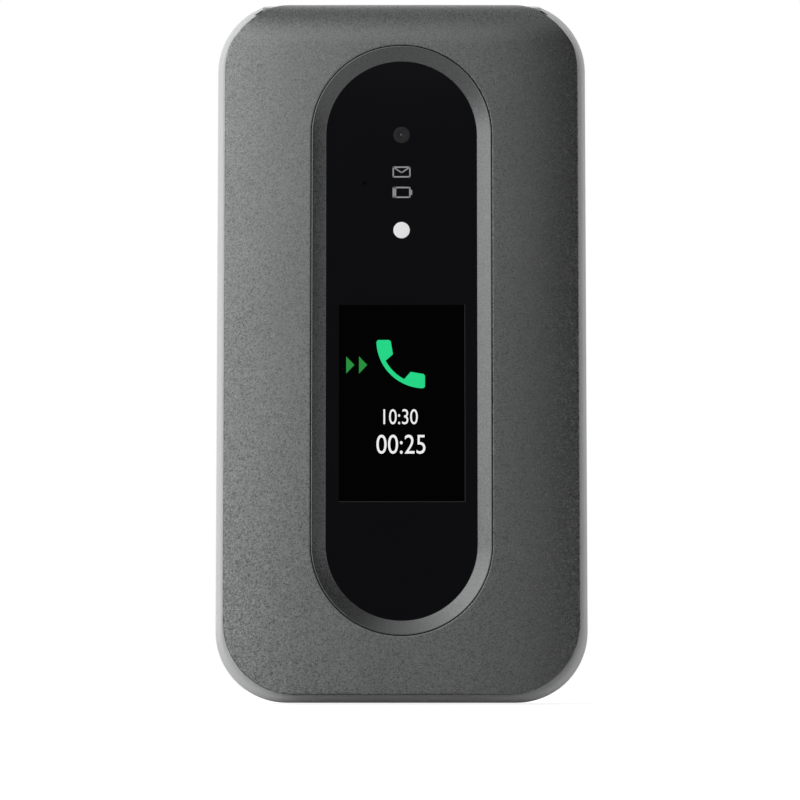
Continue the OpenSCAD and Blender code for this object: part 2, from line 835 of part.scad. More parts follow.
// The region of the base's back housing: behind the front housing and clear of the open lid
module behind_lip() {
    span([-far, split_y + slip, -far], [far, far, hinge_z]);
    intersection() {
        span([-far, -far, hinge_z - seat], [far, far, far]);
        soft_slab(half_w + slip, -slip, body_h + slip, corner_r + slip, hinge_y + lip_y, far,
            lip_round, 0);
    }
}

// Floor and walls of the battery bay
module bay() {
    w = bay_x;
    z0 = battery_z - battery_gap - bay_wall;
    difference() {
        along_y(bay_y, cell_back_y) outline(w, z0, z0 + battery_h + 2 * (battery_gap + bay_wall), 1);
        battery_room();
    }
    reach = half_w - base_wall + 3 * slip;
    for (s = [-1, 1]) span([min(s * w, s * reach), bay_y, z0],
        [max(s * w, s * reach), bay_y + bay_wall, battery_z + battery_h]);
    span([-half_w + corner_r, bay_y, 1], [half_w - corner_r, bay_y + bay_wall, z0 + slip]);
}

module battery_room() {
    w = battery_w / 2 + battery_gap;
    along_y(battery_y - seat, far)
        outline(w, battery_z - battery_gap, battery_z + battery_h + battery_gap, 1);
}

// Plate behind the upper electronics, and the rim that carries it
module upper_cap() {
    low_z = upper_z - bay_wall - free;
    along_y(cap_y, cap_y + bay_wall)
        outline(half_w - cap_inset, low_z, body_h - cap_inset, corner_r - cap_inset);
    difference() {
        union() {
            along_y(bay_y, band_back_y - slip) outline(half_w - 1, low_z, body_h - 1, corner_r - 1);
            along_y(bay_y + slip, cap_y + slip)
                outline(half_w - cap_inset, low_z + slip, body_h - cap_inset, corner_r - cap_inset);
        }
        along_y(-far, far) outline(half_w - cap_inset - bay_wall, low_z + bay_wall,
            body_h - cap_inset - bay_wall, corner_r - cap_inset - bay_wall);
        hinge_recess(0);
    }
}

module jack_room() {
    s = jack_size;
    span([base_wall - half_w, port_y - s[1] / 2 - seat, jack_z - s[2] / 2 - seat],
         [base_wall + 2 * slip - half_w + s[0], port_y + s[1] / 2 + seat, jack_z + s[2] / 2 + seat]);
}

module usb_room() {
    along_z_port(-1, usb_size[2] + seat, usb_wall + slip);
}

// The charging port's outline, run up from the bottom end
module along_z_port(z0, z1, grow) {
    translate([0, port_y, z0]) linear_extrude(z1 - z0)
        round_rect(usb_size[0] + 2 * grow, usb_size[1] + 2 * grow, usb_size[1] / 2 + grow - slip / 5);
}

// A box centred on the rocker, from x0 outwards, grown along Y and Z
module rocker_box(x0, x1, grow_y, grow_z) {
    span([x0, port_y - rocker_size[1] / 2 - grow_y, rocker_z - rocker_size[0] / 2 - grow_z],
         [x1, port_y + rocker_size[1] / 2 + grow_y, rocker_z + rocker_size[0] / 2 + grow_z]);
}

module rocker_room() {
    rocker_box(half_w - base_wall - seat, far, key_gap, key_gap);
    rocker_box(half_w - rocker_scoop, far, scoop_margin[0], scoop_margin[1]);
    rocker_box(half_w - base_wall - 2 * rocker_swing - rocker_flange[0] - free,
        half_w - base_wall, free, rocker_flange[1] + free);
    rod_y(port_y - rocker_size[1] / 2 - free, port_y + rocker_size[1] / 2 + free,
        rocker_pivot_r + seat, rocker_pivot_x, rocker_z);
}

module contact_room() {
    for (s = [-1, 1]) span([s * contact_x - contact_size[0] / 2 - seat,
        port_y - contact_size[1] / 2 - seat, -1],
        [s * contact_x + contact_size[0] / 2 + seat, port_y + contact_size[1] / 2 + seat,
         base_wall + 1]);
}

module back_cover() {
    color([0.27, 0.28, 0.28]) difference() {
        intersection() {
            soft_slab(cover_half, back_z, back_top, back_corner, 0, back_y, 0, back_fillet);
            span([-far, band_back_y + slip, -far], [far, far, far]);
        }
        soft_slab(cover_half - back_wall, back_z + back_wall, back_top - back_wall,
            back_corner - back_wall, 0, back_y - back_wall, 0, back_fillet - back_wall);
        rod_y(0, far, assist_r + assist_gap, 0, assist_z);
        for (i = [-2 : 2]) along_y(0, far) translate([i * speaker_pitch, speaker_z])
            round_rect(speaker_slot[0], speaker_slot[1], speaker_slot[2]);
    }
}

module battery() {
    color([0.16, 0.17, 0.19]) along_y(battery_y, cell_back_y)
        outline(battery_w / 2, battery_z, battery_z + battery_h, cell_corner);
}

module battery_contacts() {
    color([0.85, 0.7, 0.35]) for (i = [-1 : 1])
        span([i * blade_pitch - blade_half, bay_y + bay_floor_t + blade_y[0],
              battery_z + battery_h + blade_gap],
             [i * blade_pitch + blade_half, bay_y + bay_floor_t + blade_y[1],
              battery_z + battery_h + battery_gap - blade_gap / 2]);
}

module main_board() {
    color([0.05, 0.3, 0.15]) difference() {
        along_y(board_y, board_back_y) outline(half_w - base_wall - board_gap,
            base_wall + board_gap, notch_z - 1, corner_r - base_wall - board_gap);
        for (p = base_screws_at) rod_y(-far, far, screw_r + 3 * slip, p[0], p[1]);
        span([-usb_size[0] / 2 - usb_wall - seat, -far, -far],
             [usb_size[0] / 2 + usb_wall + seat, far, usb_size[2] + board_gap]);
        contact_room();
        span([-far, -far, jack_z - jack_size[2] / 2 - seat],
             [base_wall + jack_size[0] - half_w + 2 * seat, far, jack_z + jack_size[2] / 2 + seat]);
    }
}

module dome_sheet() {
    color([0.8, 0.8, 0.78]) along_y(dome_y, dome_y + dome_t - slip / 5) difference() {
        outline(deck_x - dome_inset, deck_z[0] + 1, ring_z + ring_r + dome_margin, 2);
        for (p = base_screws_at) translate(p) circle(post_r + seat);
    }
}

module shield_cans() {
    color([0.75, 0.75, 0.76]) {
        span([can_x[0], board_back_y + slip / 2, can_z[0]],
             [can_x[1] + can_step, board_back_y + can_h, can_z[1]]);
        span([can_x[0], board_back_y + slip / 2, can_z[2]],
             [can_x[1], board_back_y + can_h, can_z[3]]);
    }
}

module loudspeaker() {
    color([0.18, 0.18, 0.18]) along_y(board_back_y + 1.4, cap_y - slip)
        translate([0, speaker_z + speaker_rise])
            round_rect(speaker_size[0], speaker_size[1], speaker_size[2]);
}

module vibration_motor() {
    color([0.7, 0.7, 0.72]) rod_y(board_back_y + slip / 2, board_back_y + slip + motor_t,
        motor_r, motor_at[0], motor_at[1]);
}

module usb_port() {
    color([0.7, 0.7, 0.72]) difference() {
        along_z_port(seat, usb_size[2], usb_wall);
        along_z_port(-1, usb_size[2] - thin, 0);
    }
    color([0.1, 0.1, 0.1]) span([-tongue[0], port_y - tongue[1], 1],
        [tongue[0], port_y + tongue[1], usb_size[2] - 0.5]);
}

module headset_jack() {
    s = jack_size;
    color([0.12, 0.12, 0.12]) difference() {
        span([base_wall + slip - half_w, port_y - s[1] / 2, jack_z - s[2] / 2],
             [base_wall + slip - half_w + s[0], port_y + s[1] / 2, jack_z + s[2] / 2]);
        rod_x(-far, base_wall - half_w + s[0] - 1, jack_r, port_y, jack_z);
    }
}

module charging_contacts() {
    color([0.85, 0.7, 0.35]) for (s = [-1, 1])
        span([s * contact_x - contact_size[0] / 2, port_y - contact_size[1] / 2, contact_sunk],
             [s * contact_x + contact_size[0] / 2, port_y + contact_size[1] / 2, base_wall + contact_rise]);
}

module sim_holder() {
    color([0.75, 0.75, 0.76]) span([-bay_x - sim_gap - sim_size[0], bay_y + bay_wall + slip, sim_z],
        [-bay_x - sim_gap, bay_y + bay_wall + sim_size[2], sim_z + sim_size[1]]);
}

module antenna() {
    color([0.75, 0.6, 0.3]) span([-antenna_half, cap_y - 0.3, antenna_z[0]],
        [antenna_half, cap_y - slip, antenna_z[1]]);
}

module microphone() {
    color([0.75, 0.75, 0.76]) span([mic_x - mic_size[0] / 2, deck_back_y + slip, mic_z - 0.4],
        [mic_x + mic_size[0] / 2, board_y - slip, mic_z - 0.4 + mic_size[1]]);
}

module base_screws() {
    color([0.6, 0.6, 0.62]) for (p = base_screws_at) {
        rod_y(deck_back_y - screw_bite + slip, base_head_y + seat, screw_r - 2 * slip, p[0], p[1]);
        rod_y(base_head_y, base_head_y + base_head_t, screw_head_r, p[0], p[1]);
    }
}

module volume_rocker() {
    top = half_w - rocker_scoop + rocker_proud;
    back = half_w - base_wall - rocker_swing;
    color([0.8, 0.81, 0.81]) {
        intersection() {
            along_x(back - slip, top) translate([port_y, rocker_z])
                round_rect(rocker_size[1], rocker_size[0], 1);
            translate([top - rocker_r, 0, rocker_z]) rotate([90, 0, 0])
                cylinder(r = rocker_r, h = far, center = true, $fn = 256);
        }
        rocker_box(back - rocker_flange[0], back, 0, rocker_flange[1]);
        rod_y(port_y - rocker_size[1] / 2, port_y + rocker_size[1] / 2, rocker_pivot_r,
            rocker_pivot_x, rocker_z);
    }
}

module assist_button() {
    color([0.6, 0.6, 0.6]) difference() {
        union() {
            rod_y(assist_y, back_y - seat, assist_r, 0, assist_z);
            rod_y(board_back_y + can_h + assist_travel + seat, assist_y + slip, assist_stem_r,
                0, assist_z);
        }
        translate([0, back_y - 0.5 + assist_dish, assist_z]) sphere(assist_dish, $fn = 128);
    }
}

// ---- keys ----

module plain_key(k) {
    color([0.25, 0.26, 0.27]) {
        along_y(deck_y - key_proud, flange_y + slip) key_outline(k, 0);
        along_y(flange_y, flange_y + flange_t) key_outline(k, flange_lip);
        rod_y(flange_y, nub_end_y, nub_r, k[1], k[2]);
    }
}

module arrow_key(k) {
    reach = (ring_r + ok_r) / 2;
    color([0.25, 0.26, 0.27]) {
        along_y(deck_y - key_proud, flange_y + flange_t) arrow_outline(k[1], 0);
        along_y(flange_y, flange_y + flange_t) intersection() {
            translate([0, ring_z]) circle(ring_r + flange_lip);
            translate([0, ring_z]) rotate(k[1])
                polygon([[ok_r, 0], [far, far - ok_r - arrow_gap], [far, ok_r + arrow_gap - far]]);
        }
        rod_y(flange_y, nub_end_y, nub_r, reach * cos(k[1]), ring_z + reach * sin(k[1]));
    }
}

module key_ok() {
    color([0.7, 0.71, 0.71]) {
        rod_y(deck_y - key_proud, flange_y + flange_t, ok_r, 0, ring_z);
        rod_y(flange_y, nub_end_y, nub_r, 0, ring_z);
    }
}

// ---- assembly ----

outer_cover();
window_trim();
front_window();
outer_display();
camera_module();
flash_led();
status_icons();
lid_board();
inner_display();
inner_window();
lid_frame();
earpiece();
earpiece_mesh();
lid_magnet();
lid_bumpers();
lid_screws();
hinge_shaft();
hinge_bush();
base_front();
base_back();
back_cover();
battery();
battery_contacts();
main_board();
dome_sheet();
shield_cans();
loudspeaker();
vibration_motor();
usb_port();
headset_jack();
charging_contacts();
sim_holder();
antenna();
microphone();
base_screws();
hinge_cartridge();
hinge_spring();
volume_rocker();
assist_button();
key_ok();
for (k = plain_keys) plain_key(k);
for (k = arrow_keys) arrow_key(k);
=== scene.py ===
# %% [markdown]
# # A flip phone, dressed around its solids
#
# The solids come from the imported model. They already have the right sizes, places and joints,
# so this script adds what they lack: a softly crowned outer cover, smooth ends for its roll, a
# fine trim ring, what is seen in the front window, printed keys, and a finish for every surface.

# %% Load the frame
import math

import bmesh
import bpy
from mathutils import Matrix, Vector


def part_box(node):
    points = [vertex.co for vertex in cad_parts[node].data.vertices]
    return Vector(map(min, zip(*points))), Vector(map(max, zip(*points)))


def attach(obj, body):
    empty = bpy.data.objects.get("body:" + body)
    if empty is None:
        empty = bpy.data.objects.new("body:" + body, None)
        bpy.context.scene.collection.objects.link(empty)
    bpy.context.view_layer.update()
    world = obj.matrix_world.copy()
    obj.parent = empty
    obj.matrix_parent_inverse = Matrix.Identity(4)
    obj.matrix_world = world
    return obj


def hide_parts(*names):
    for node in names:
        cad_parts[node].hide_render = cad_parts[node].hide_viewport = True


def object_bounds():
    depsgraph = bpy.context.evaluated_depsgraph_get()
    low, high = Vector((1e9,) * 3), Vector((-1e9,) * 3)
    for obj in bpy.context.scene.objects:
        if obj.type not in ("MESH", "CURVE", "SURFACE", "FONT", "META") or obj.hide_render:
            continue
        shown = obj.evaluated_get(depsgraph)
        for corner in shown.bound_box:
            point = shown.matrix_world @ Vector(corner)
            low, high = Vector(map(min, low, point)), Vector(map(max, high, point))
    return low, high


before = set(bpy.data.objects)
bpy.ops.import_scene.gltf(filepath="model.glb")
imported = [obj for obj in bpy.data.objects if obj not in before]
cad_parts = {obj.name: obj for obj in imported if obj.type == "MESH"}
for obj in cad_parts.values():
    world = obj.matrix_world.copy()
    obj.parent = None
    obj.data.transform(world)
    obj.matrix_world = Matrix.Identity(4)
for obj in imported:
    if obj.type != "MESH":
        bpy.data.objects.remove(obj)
cad_low, cad_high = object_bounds()
MM = 0.001
PER_METRE = 1000

# %% [markdown]
# ## Measures
#
# All lengths are in millimetres here and are turned into metres when a vertex is made. The
# names and values repeat those of the solids, so that a new piece meets its neighbours. Reading
# a node's box keeps the two in step where a value could drift.

# %% Planes and radii of the lid
cover_low, cover_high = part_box("outer_cover")
FACE_Y = cover_low.y / MM
HALF_W = cover_high.x / MM
LOW_Z = cover_low.z / MM
HINGE_Y = -2.4
ROLL_R = HINGE_Y - FACE_Y              # the cover's roll over the hinge
HINGE_Z = cover_high.z / MM - ROLL_R
WRAP = math.radians(112)               # how far round the roll the cover goes
CROWN = 2.14                           # how far the face falls back at its sides
CROWN_MIX = 0.45                       # share of that fall which is a plain parabola
CORNER_R = 11.0
COVER_BACK_Y = -5.6
SKIN = 1.2                             # thickness of the cover
GLASS_Y = -8.1
GLASS_R = 11.4
GLASS_LOW, GLASS_TOP = 12.4, 97.5
TRIM = 2.3                             # width of the trim ring
print("cover", round(2 * HALF_W, 2), "mm wide, face at", round(FACE_Y, 2))

# %% [markdown]
# ## Meshes from rings of points
#
# Most pieces here are loops of points, joined ring to ring. One helper makes the faces and
# closes the ends, another makes a piece of them and smooths the shading up to a given angle.

# %% Join rings into a mesh
def add(name, data):
    """A new object in the scene."""
    made = bpy.data.objects.new(name, data)
    bpy.context.scene.collection.objects.link(made)
    return made


def new_piece(name, verts, faces, finish, body="lid", smooth=40):
    """A piece that rides on a body, from points in millimetres."""
    mesh = bpy.data.meshes.new(name)
    mesh.from_pydata([Vector(v) * MM for v in verts], [], faces)
    work = bmesh.new()
    work.from_mesh(mesh)
    bmesh.ops.recalc_face_normals(work, faces=work.faces)
    work.to_mesh(mesh)
    work.free()
    piece = add(name, mesh)
    mesh.materials.append(finish)
    mesh.shade_smooth()
    mesh.set_sharp_from_angle(angle=math.radians(smooth))
    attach(piece, body)
    return piece


def ring_faces(rings, count, wrap=False):
    """Faces between rings of count points. The ends are closed, unless the rings wrap round."""
    faces = []
    for r in range(rings if wrap else rings - 1):
        a, b = r * count, (r + 1) % rings * count
        for i in range(count):
            j = (i + 1) % count
            faces.append((a + i, a + j, b + j, b + i))
    if not wrap:
        faces += [tuple(range(count)), tuple(range((rings - 1) * count, rings * count))]
    return faces


def loft(name, rings, finish, body="lid", wrap=False, smooth=40):
    """A piece whose surface runs over rings with equal numbers of points."""
    return new_piece(name, [p for ring in rings for p in ring],
                     ring_faces(len(rings), len(rings[0]), wrap), finish, body, smooth)


# %% [markdown]
# ## Shader maths as expressions
#
# A material is easier to read when its maths looks like maths. `Value` wraps a socket, so that
# `1 - mask * 2` adds the Math nodes for us. Everything else goes through `Nodes.node`, which
# the finishes and the room share.

# %% Sockets and node trees
class Value:
    """A socket that takes part in sums and products."""

    def __init__(self, nodes, socket):
        self.nodes, self.socket = nodes, socket

    def maths(self, operation, a, b):
        return self.nodes.node("ShaderNodeMath", {"operation": operation}, {0: a, 1: b})

    def __add__(self, other):
        return self.maths("ADD", self, other)

    def __radd__(self, other):
        return self.maths("ADD", other, self)

    def __sub__(self, other):
        return self.maths("SUBTRACT", self, other)

    def __rsub__(self, other):
        return self.maths("SUBTRACT", other, self)

    def __mul__(self, other):
        return self.maths("MULTIPLY", self, other)

    def __rmul__(self, other):
        return self.maths("MULTIPLY", other, self)


class Nodes:
    """Adds nodes to a tree and fills their inputs with values or links."""

    def __init__(self, tree):
        self.tree = tree

    def node(self, kind, settings=None, inputs=None, output=0):
        made = self.tree.nodes.new(kind)
        for key, value in (settings or {}).items():
            setattr(made, key, value)
        for key, value in (inputs or {}).items():
            if value is not None:
                self.plug(made.inputs[key], value)
        return Value(self, made.outputs[output]) if made.outputs else None

    def plug(self, socket, value):
        if isinstance(value, Value):
            self.tree.links.new(value.socket, socket)
        else:
            socket.default_value = value


class Finish(Nodes):
    """A material whose surface is one Principled shader."""

    def __init__(self, name, color, roughness=0.5, metallic=0.0, **fixed):
        self.material = bpy.data.materials.new(name)
        self.material.use_nodes = True
        super().__init__(self.material.node_tree)
        self.shader = self.tree.nodes["Principled BSDF"]
        self.material.diffuse_color = tone(color)
        self.set(Base_Color=tone(color), Roughness=roughness, Metallic=metallic, **fixed)

    def set(self, **sockets):
        for name, value in sockets.items():
            self.plug(self.shader.inputs[name.replace("_", " ")], value)

    def place(self):
        """Where a point lies on the object, in metres."""
        return self.node("ShaderNodeTexCoord", output="Object")

    def blend(self, factor, a, b):
        """A colour between a and b."""
        return self.node("ShaderNodeMix", {"data_type": "RGBA"},
                         {"Factor": factor, 6: a, 7: b}, output=2)

    def noise(self, per_mm, detail=2.0, at=None):
        return self.node("ShaderNodeTexNoise", None, {
            "Vector": self.place() if at is None else at, "Scale": per_mm * PER_METRE,
            "Detail": detail})

    def cells(self, size_mm):
        """Small cells with a random colour each."""
        return self.node("ShaderNodeTexVoronoi", None,
                         {"Vector": self.place(), "Scale": PER_METRE / size_mm}, output="Color")

    def flakes(self, size_mm):
        """A random number in each small cell, for flakes in paint."""
        return self.node("ShaderNodeSeparateColor", None, {0: self.cells(size_mm)})

    def vector_maths(self, operation, a, b=None):
        return self.node("ShaderNodeVectorMath", {"operation": operation}, {0: a, 1: b})

    def tilted(self, size_mm, amount):
        """The surface's normal, leaned a little at random in each small cell."""
        lean = self.vector_maths("SUBTRACT", self.cells(size_mm), (0.5, 0.5, 0.5))
        lean = self.vector_maths("MULTIPLY", lean, (amount, amount, amount))
        level = self.node("ShaderNodeNewGeometry", output="Normal")
        return self.vector_maths("NORMALIZE", self.vector_maths("ADD", level, lean))

    def bump(self, height, depth_mm, under=None):
        """Fine relief, on the plain normal or on the one given."""
        self.set(Normal=self.node("ShaderNodeBump", None, {
            "Height": height, "Distance": depth_mm * MM, "Normal": under}))


def tone(color, times=1.0):
    """A colour made darker or lighter, in the form a socket takes."""
    return (*(min(c * times, 1) for c in color), 1)


def around(middle, spread, noise):
    """A value that wavers about its middle as the noise runs from 0 to 1."""
    return noise * spread + (middle - spread / 2)


# %% [markdown]
# ## Finishes
#
# The outer covers are sprayed with a dark metallic paint, which has flakes that catch the light
# one by one. A Voronoi texture gives each flake a number, which changes its brightness. The same
# cells lean the normal of the surface, each in its own direction.

# %% Sparkling cover paint
def sparkle_paint(name, flake_mm, lean, color, spread):
    paint = Finish(name, color, metallic=0.95, Coat_Weight=0.1, Coat_Roughness=0.3)
    flake = paint.flakes(flake_mm)
    cloud = paint.noise(0.08)
    bright = around(0.5, spread, flake) + around(0, 0.12, cloud)
    paint.set(Base_Color=paint.blend(bright, tone(color, 0.45), tone(color, 1.55)),
              Roughness=around(0.31, 0.1, flake))
    paint.bump(paint.noise(6.0), 0.0012, paint.tilted(flake_mm, lean))
    return paint.material


cover_paint = sparkle_paint("cover_paint", 0.15, 0.2, (0.132, 0.135, 0.134), 0.85)
trim_paint = sparkle_paint("trim_paint", 0.10, 0.12, (0.122, 0.125, 0.124), 0.3)
print("paints:", cover_paint.name, trim_paint.name)

# %% [markdown]
# The window is smooth black plastic. Bare plastic reflects about 4% of what it faces. The level
# is set lower here, so that the window stays nearly black in a pale room.

# %% Black windows and the screens behind them
def gloss(name, color, roughness, level, haze=0.02):
    shiny = Finish(name, color, Specular_IOR_Level=level)
    smear = shiny.noise(0.05, 3)
    shiny.set(Roughness=roughness + smear * haze,
              Base_Color=shiny.blend(smear, tone(color), tone(color, 1.25)))
    return shiny.material


window_black = gloss("window_black", (0.0039, 0.0039, 0.0048), 0.06, 0.12)
screen_black = gloss("screen_black", (0.0006, 0.0006, 0.0007), 0.08, 0.05)
lens_black = gloss("lens_black", (0.012, 0.012, 0.013), 0.05, 0.6)
print("glossy:", window_black.name, screen_black.name, lens_black.name)

# %% [markdown]
# The bands, housings and key deck are plastic with a silver-white paint: pale, a little
# metallic, with a very fine grain that only shows close up.

# %% Pale plastic
def moulded(name, color, roughness, grain_mm=0.12, depth=0.004, metallic=0.0):
    plastic = Finish(name, color, metallic=metallic)
    grain = plastic.noise(1 / grain_mm)
    shade = grain * 0.3 + plastic.noise(0.06) * 0.7
    plastic.set(Roughness=around(roughness, 0.12, shade),
                Base_Color=plastic.blend(shade, tone(color, 0.93), tone(color, 1.05)))
    plastic.bump(grain, depth)
    return plastic.material


silver_band = moulded("silver_band", (0.53, 0.532, 0.535), 0.4, metallic=0.12)
pale_deck = moulded("pale_deck", (0.62, 0.625, 0.63), 0.42, 0.15, 0.006, metallic=0.1)
key_dark = moulded("key_dark", (0.03, 0.031, 0.034), 0.38, 0.1, 0.003)
key_pale = moulded("key_pale", (0.5, 0.505, 0.51), 0.36, 0.1, 0.003, metallic=0.2)
inner_plastic = moulded("inner_plastic", (0.02, 0.02, 0.021), 0.5)
soft_rubber = moulded("soft_rubber", (0.25, 0.255, 0.26), 0.75, 0.2, 0.01)
battery_film = moulded("battery_film", (0.04, 0.045, 0.05), 0.35, 0.3, 0.004)
pad_white = moulded("pad_white", (0.72, 0.7, 0.62), 0.4, 0.25, 0.01)
print("plastics:", silver_band.name, "and seven more")

# %% [markdown]
# Metal parts inside are stamped or turned. Brushed metal has long thin scratches, so its noise
# is stretched along one axis.

# %% Metals
def metal(name, color, roughness, stretch=(1, 1, 12)):
    alloy = Finish(name, color, metallic=1.0)
    spot = alloy.vector_maths("MULTIPLY", alloy.place(), tuple(1 / s for s in stretch))
    lines = alloy.noise(9, 3, spot)
    alloy.set(Roughness=around(roughness, 0.16, lines),
              Base_Color=alloy.blend(lines, tone(color, 0.85), tone(color)))
    alloy.bump(lines, 0.002)
    return alloy.material


stamped_steel = metal("stamped_steel", (0.62, 0.62, 0.63), 0.32)
turned_steel = metal("turned_steel", (0.5, 0.5, 0.51), 0.28, (12, 1, 1))
gold_plate = metal("gold_plate", (0.82, 0.6, 0.28), 0.25)
mesh_steel = metal("mesh_steel", (0.2, 0.2, 0.21), 0.4, (1, 1, 1))


def circuit_green():
    board = Finish("circuit_green", (0.01, 0.09, 0.04), 0.35)
    tracks = board.node("ShaderNodeTexBrick", {"offset": 0.5}, {
        "Vector": board.place(), "Scale": 900.0, "Color1": (0.01, 0.09, 0.04, 1),
        "Color2": (0.012, 0.12, 0.055, 1), "Mortar": (0.02, 0.16, 0.07, 1)})
    board.set(Base_Color=tracks)
    board.bump(board.noise(2.0), 0.01)
    return board.material


board_green = circuit_green()
print("metals and a board:", stamped_steel.name, gold_plate.name, board_green.name)

# %% [markdown]
# Marks and lit signs are thin layers of colour. A sign that is lit gives off a little of its
# own colour, with a faint unevenness from the light behind it.

# %% Signs
def lit(name, color):
    sign = Finish(name, color, Emission_Strength=1.0, Specular_IOR_Level=0.1)
    sign.set(Base_Color=(0.01, 0.01, 0.01, 1),
             Emission_Color=sign.blend(sign.noise(0.7), tone(color, 0.9), tone(color)))
    return sign.material


sign_green = lit("sign_green", (0.005, 0.69, 0.24))
sign_dim_green = lit("sign_dim_green", (0.009, 0.27, 0.036))
sign_white = lit("sign_white", (0.9, 0.9, 0.9))
mark_grey = moulded("mark_grey", (0.3, 0.3, 0.3), 0.5)
mark_white = moulded("mark_white", (0.8, 0.8, 0.8), 0.5)
mark_green = moulded("mark_green", (0.03, 0.42, 0.12), 0.5)
mark_red = moulded("mark_red", (0.6, 0.03, 0.02), 0.5)
flash_lens = moulded("flash_lens", (0.84, 0.84, 0.84), 0.3, 0.35, 0.03)
print(len(bpy.data.materials), "finishes")

# %% [markdown]
# ## The outer cover
#
# The cover is a thin shell: crowned across its width, cut to a rounded outline, with an opening
# for the window, and wrapped over the hinge at the top. A height formula gives every point, so
# the surface is smooth however it is cut. `u` runs across, from -1 to 1 at the edges, and `s`
# runs up the face and on over the roll.

# %% The cover's surface
ROLL_END = HINGE_Z + ROLL_R * WRAP


def height_at(s):
    return s if s <= HINGE_Z else HINGE_Z + ROLL_R * math.sin((s - HINGE_Z) / ROLL_R)


def half_width(s):
    """Half the cover's width, s millimetres up its face."""
    z = height_at(s)
    low, high = LOW_Z + CORNER_R, HINGE_Z + ROLL_R - CORNER_R
    beyond = max(low - z, z - high, 0)
    return HALF_W - CORNER_R + math.sqrt(max(CORNER_R ** 2 - beyond ** 2, 0))


def crown_drop(x):
    """How far the face falls back at x: flat in the middle, rounder near the sides."""
    u = x / HALF_W
    return CROWN * (CROWN_MIX * u ** 2 + (1 - CROWN_MIX) * u ** 4)


def cover_point(x, s, depth=0.0):
    """A point of the cover, depth below its face. On the roll the crown fades out by the top."""
    drop = crown_drop(x)
    if s <= HINGE_Z:
        return (x, FACE_Y + drop + depth, s)
    turn = (s - HINGE_Z) / ROLL_R
    r = ROLL_R - drop * math.cos(turn) ** 2 * (turn < math.pi / 2) - depth
    return (x, HINGE_Y - r * math.cos(turn), HINGE_Z + r * math.sin(turn))


print("face runs", round(ROLL_END - LOW_Z, 1), "mm from the lower edge over the roll")

# %% [markdown]
# Two closed paths bound the cover: the pill-shaped opening and the outer outline. Both have the
# same number of points, and quarter by quarter they face each other, so rings between them stay
# even.

# %% The pill and the outline, quarter by quarter
QUARTER, SIDE = 44, 40
TOP_COUNT, FOOT_COUNT = 14, 16         # points of a quarter that lie on the top and foot edges
ARC_LOW, ARC_TOP = GLASS_LOW + GLASS_R, GLASS_TOP - GLASS_R


def mirrored(path):
    """A closed path, from its right half."""
    return path + [(-x, s) for x, s in path[1:-1]][::-1]


def pill_path(r):
    """Points of a pill outline, from the top, turning right."""
    turns = [math.pi / 2 * i / QUARTER for i in range(QUARTER + 1)]
    path = [(r * math.sin(a), ARC_TOP + r * math.cos(a)) for a in turns[:-1]]
    path += [(r, ARC_TOP + (ARC_LOW - ARC_TOP) * i / SIDE) for i in range(SIDE)]
    return mirrored(path + [(r * math.cos(a), ARC_LOW - r * math.sin(a)) for a in turns])


def even(points, count):
    """count points at even distances along a polyline, without its last point."""
    lengths = [0]
    for a, b in zip(points, points[1:]):
        lengths.append(lengths[-1] + math.dist(a, b))
    out, k = [], 0
    for i in range(count):
        want = lengths[-1] * i / count
        while lengths[k + 1] < want:
            k += 1
        t = (want - lengths[k]) / max(lengths[k + 1] - lengths[k], 1e-9)
        out.append(tuple(a + (b - a) * t for a, b in zip(points[k], points[k + 1])))
    return out


def outline_path():
    """Points of the cover's outline, each opposite the pill's point of the same number."""
    steps = 400
    shares = [i / steps for i in range(steps + 1)]
    top = [(half_width(ROLL_END) * t, ROLL_END) for t in shares]
    high = [ROLL_END + (ARC_TOP - ROLL_END) * t for t in shares]
    low = [ARC_LOW + (LOW_Z - ARC_LOW) * (1 - (1 - t) ** 2) for t in shares]
    foot = [(half_width(LOW_Z) * (1 - t), LOW_Z) for t in shares]
    path = even(top, TOP_COUNT) + even([(half_width(s), s) for s in high], QUARTER - TOP_COUNT)
    path += [(HALF_W, ARC_TOP + (ARC_LOW - ARC_TOP) * i / SIDE) for i in range(SIDE)]
    path += even([(half_width(s), s) for s in low], QUARTER - FOOT_COUNT)
    return mirrored(path + even(foot, FOOT_COUNT) + [foot[-1]])


outer = outline_path()
print(len(outer), "points round the cover,", len(pill_path(1)), "round the opening")

# %% [markdown]
# Each ring lies part of the way from the opening to the outline. Close to the outline the rings
# are dense and sink along a circle, which rounds the edge. Then the side runs back to the lid
# frame, and a second skin inside closes the shell.

# %% Build the cover
EDGE_R, LIP_R = 0.2, 0.12              # rounding at the outline and at the opening
TRIM_ROOM = 0.06                       # between the opening and the trim ring
WALL = 0.9                             # thickness of the cover's side
HOLE_STEPS = (0.0, 0.03, 0.07, 0.12, 0.3, 0.8)
EDGE_STEPS = (2.6, 1.8, 1.2, 0.8, 0.5, 0.2, 0.16, 0.12, 0.08, 0.04, 0.015, 0.004, 0.0)
BETWEEN = 16
opening = pill_path(GLASS_R + TRIM + TRIM_ROOM)


def round_off(distance, r):
    """How far a rounded edge of radius r has sunk, at a distance from it."""
    return r - math.sqrt(max(r * r - max(r - distance, 0) ** 2, 0))


def cover_ring(reach, depth_of):
    """One ring. reach(span) is its distance from the opening, where the outline is at span."""
    ring = []
    for (hole_x, hole_s), (out_x, out_s) in zip(opening, outer):
        span = math.dist((hole_x, hole_s), (out_x, out_s))
        t = reach(span) / span
        u, out_u = hole_x / half_width(hole_s), out_x / half_width(out_s)
        s = hole_s + (out_s - hole_s) * t
        x = (u + (out_u - u) * t) * half_width(s)
        ring.append(cover_point(x, s, depth_of(x, s)))
    return ring


def near_hole(d, depth_of):
    return cover_ring(lambda span: d, depth_of)


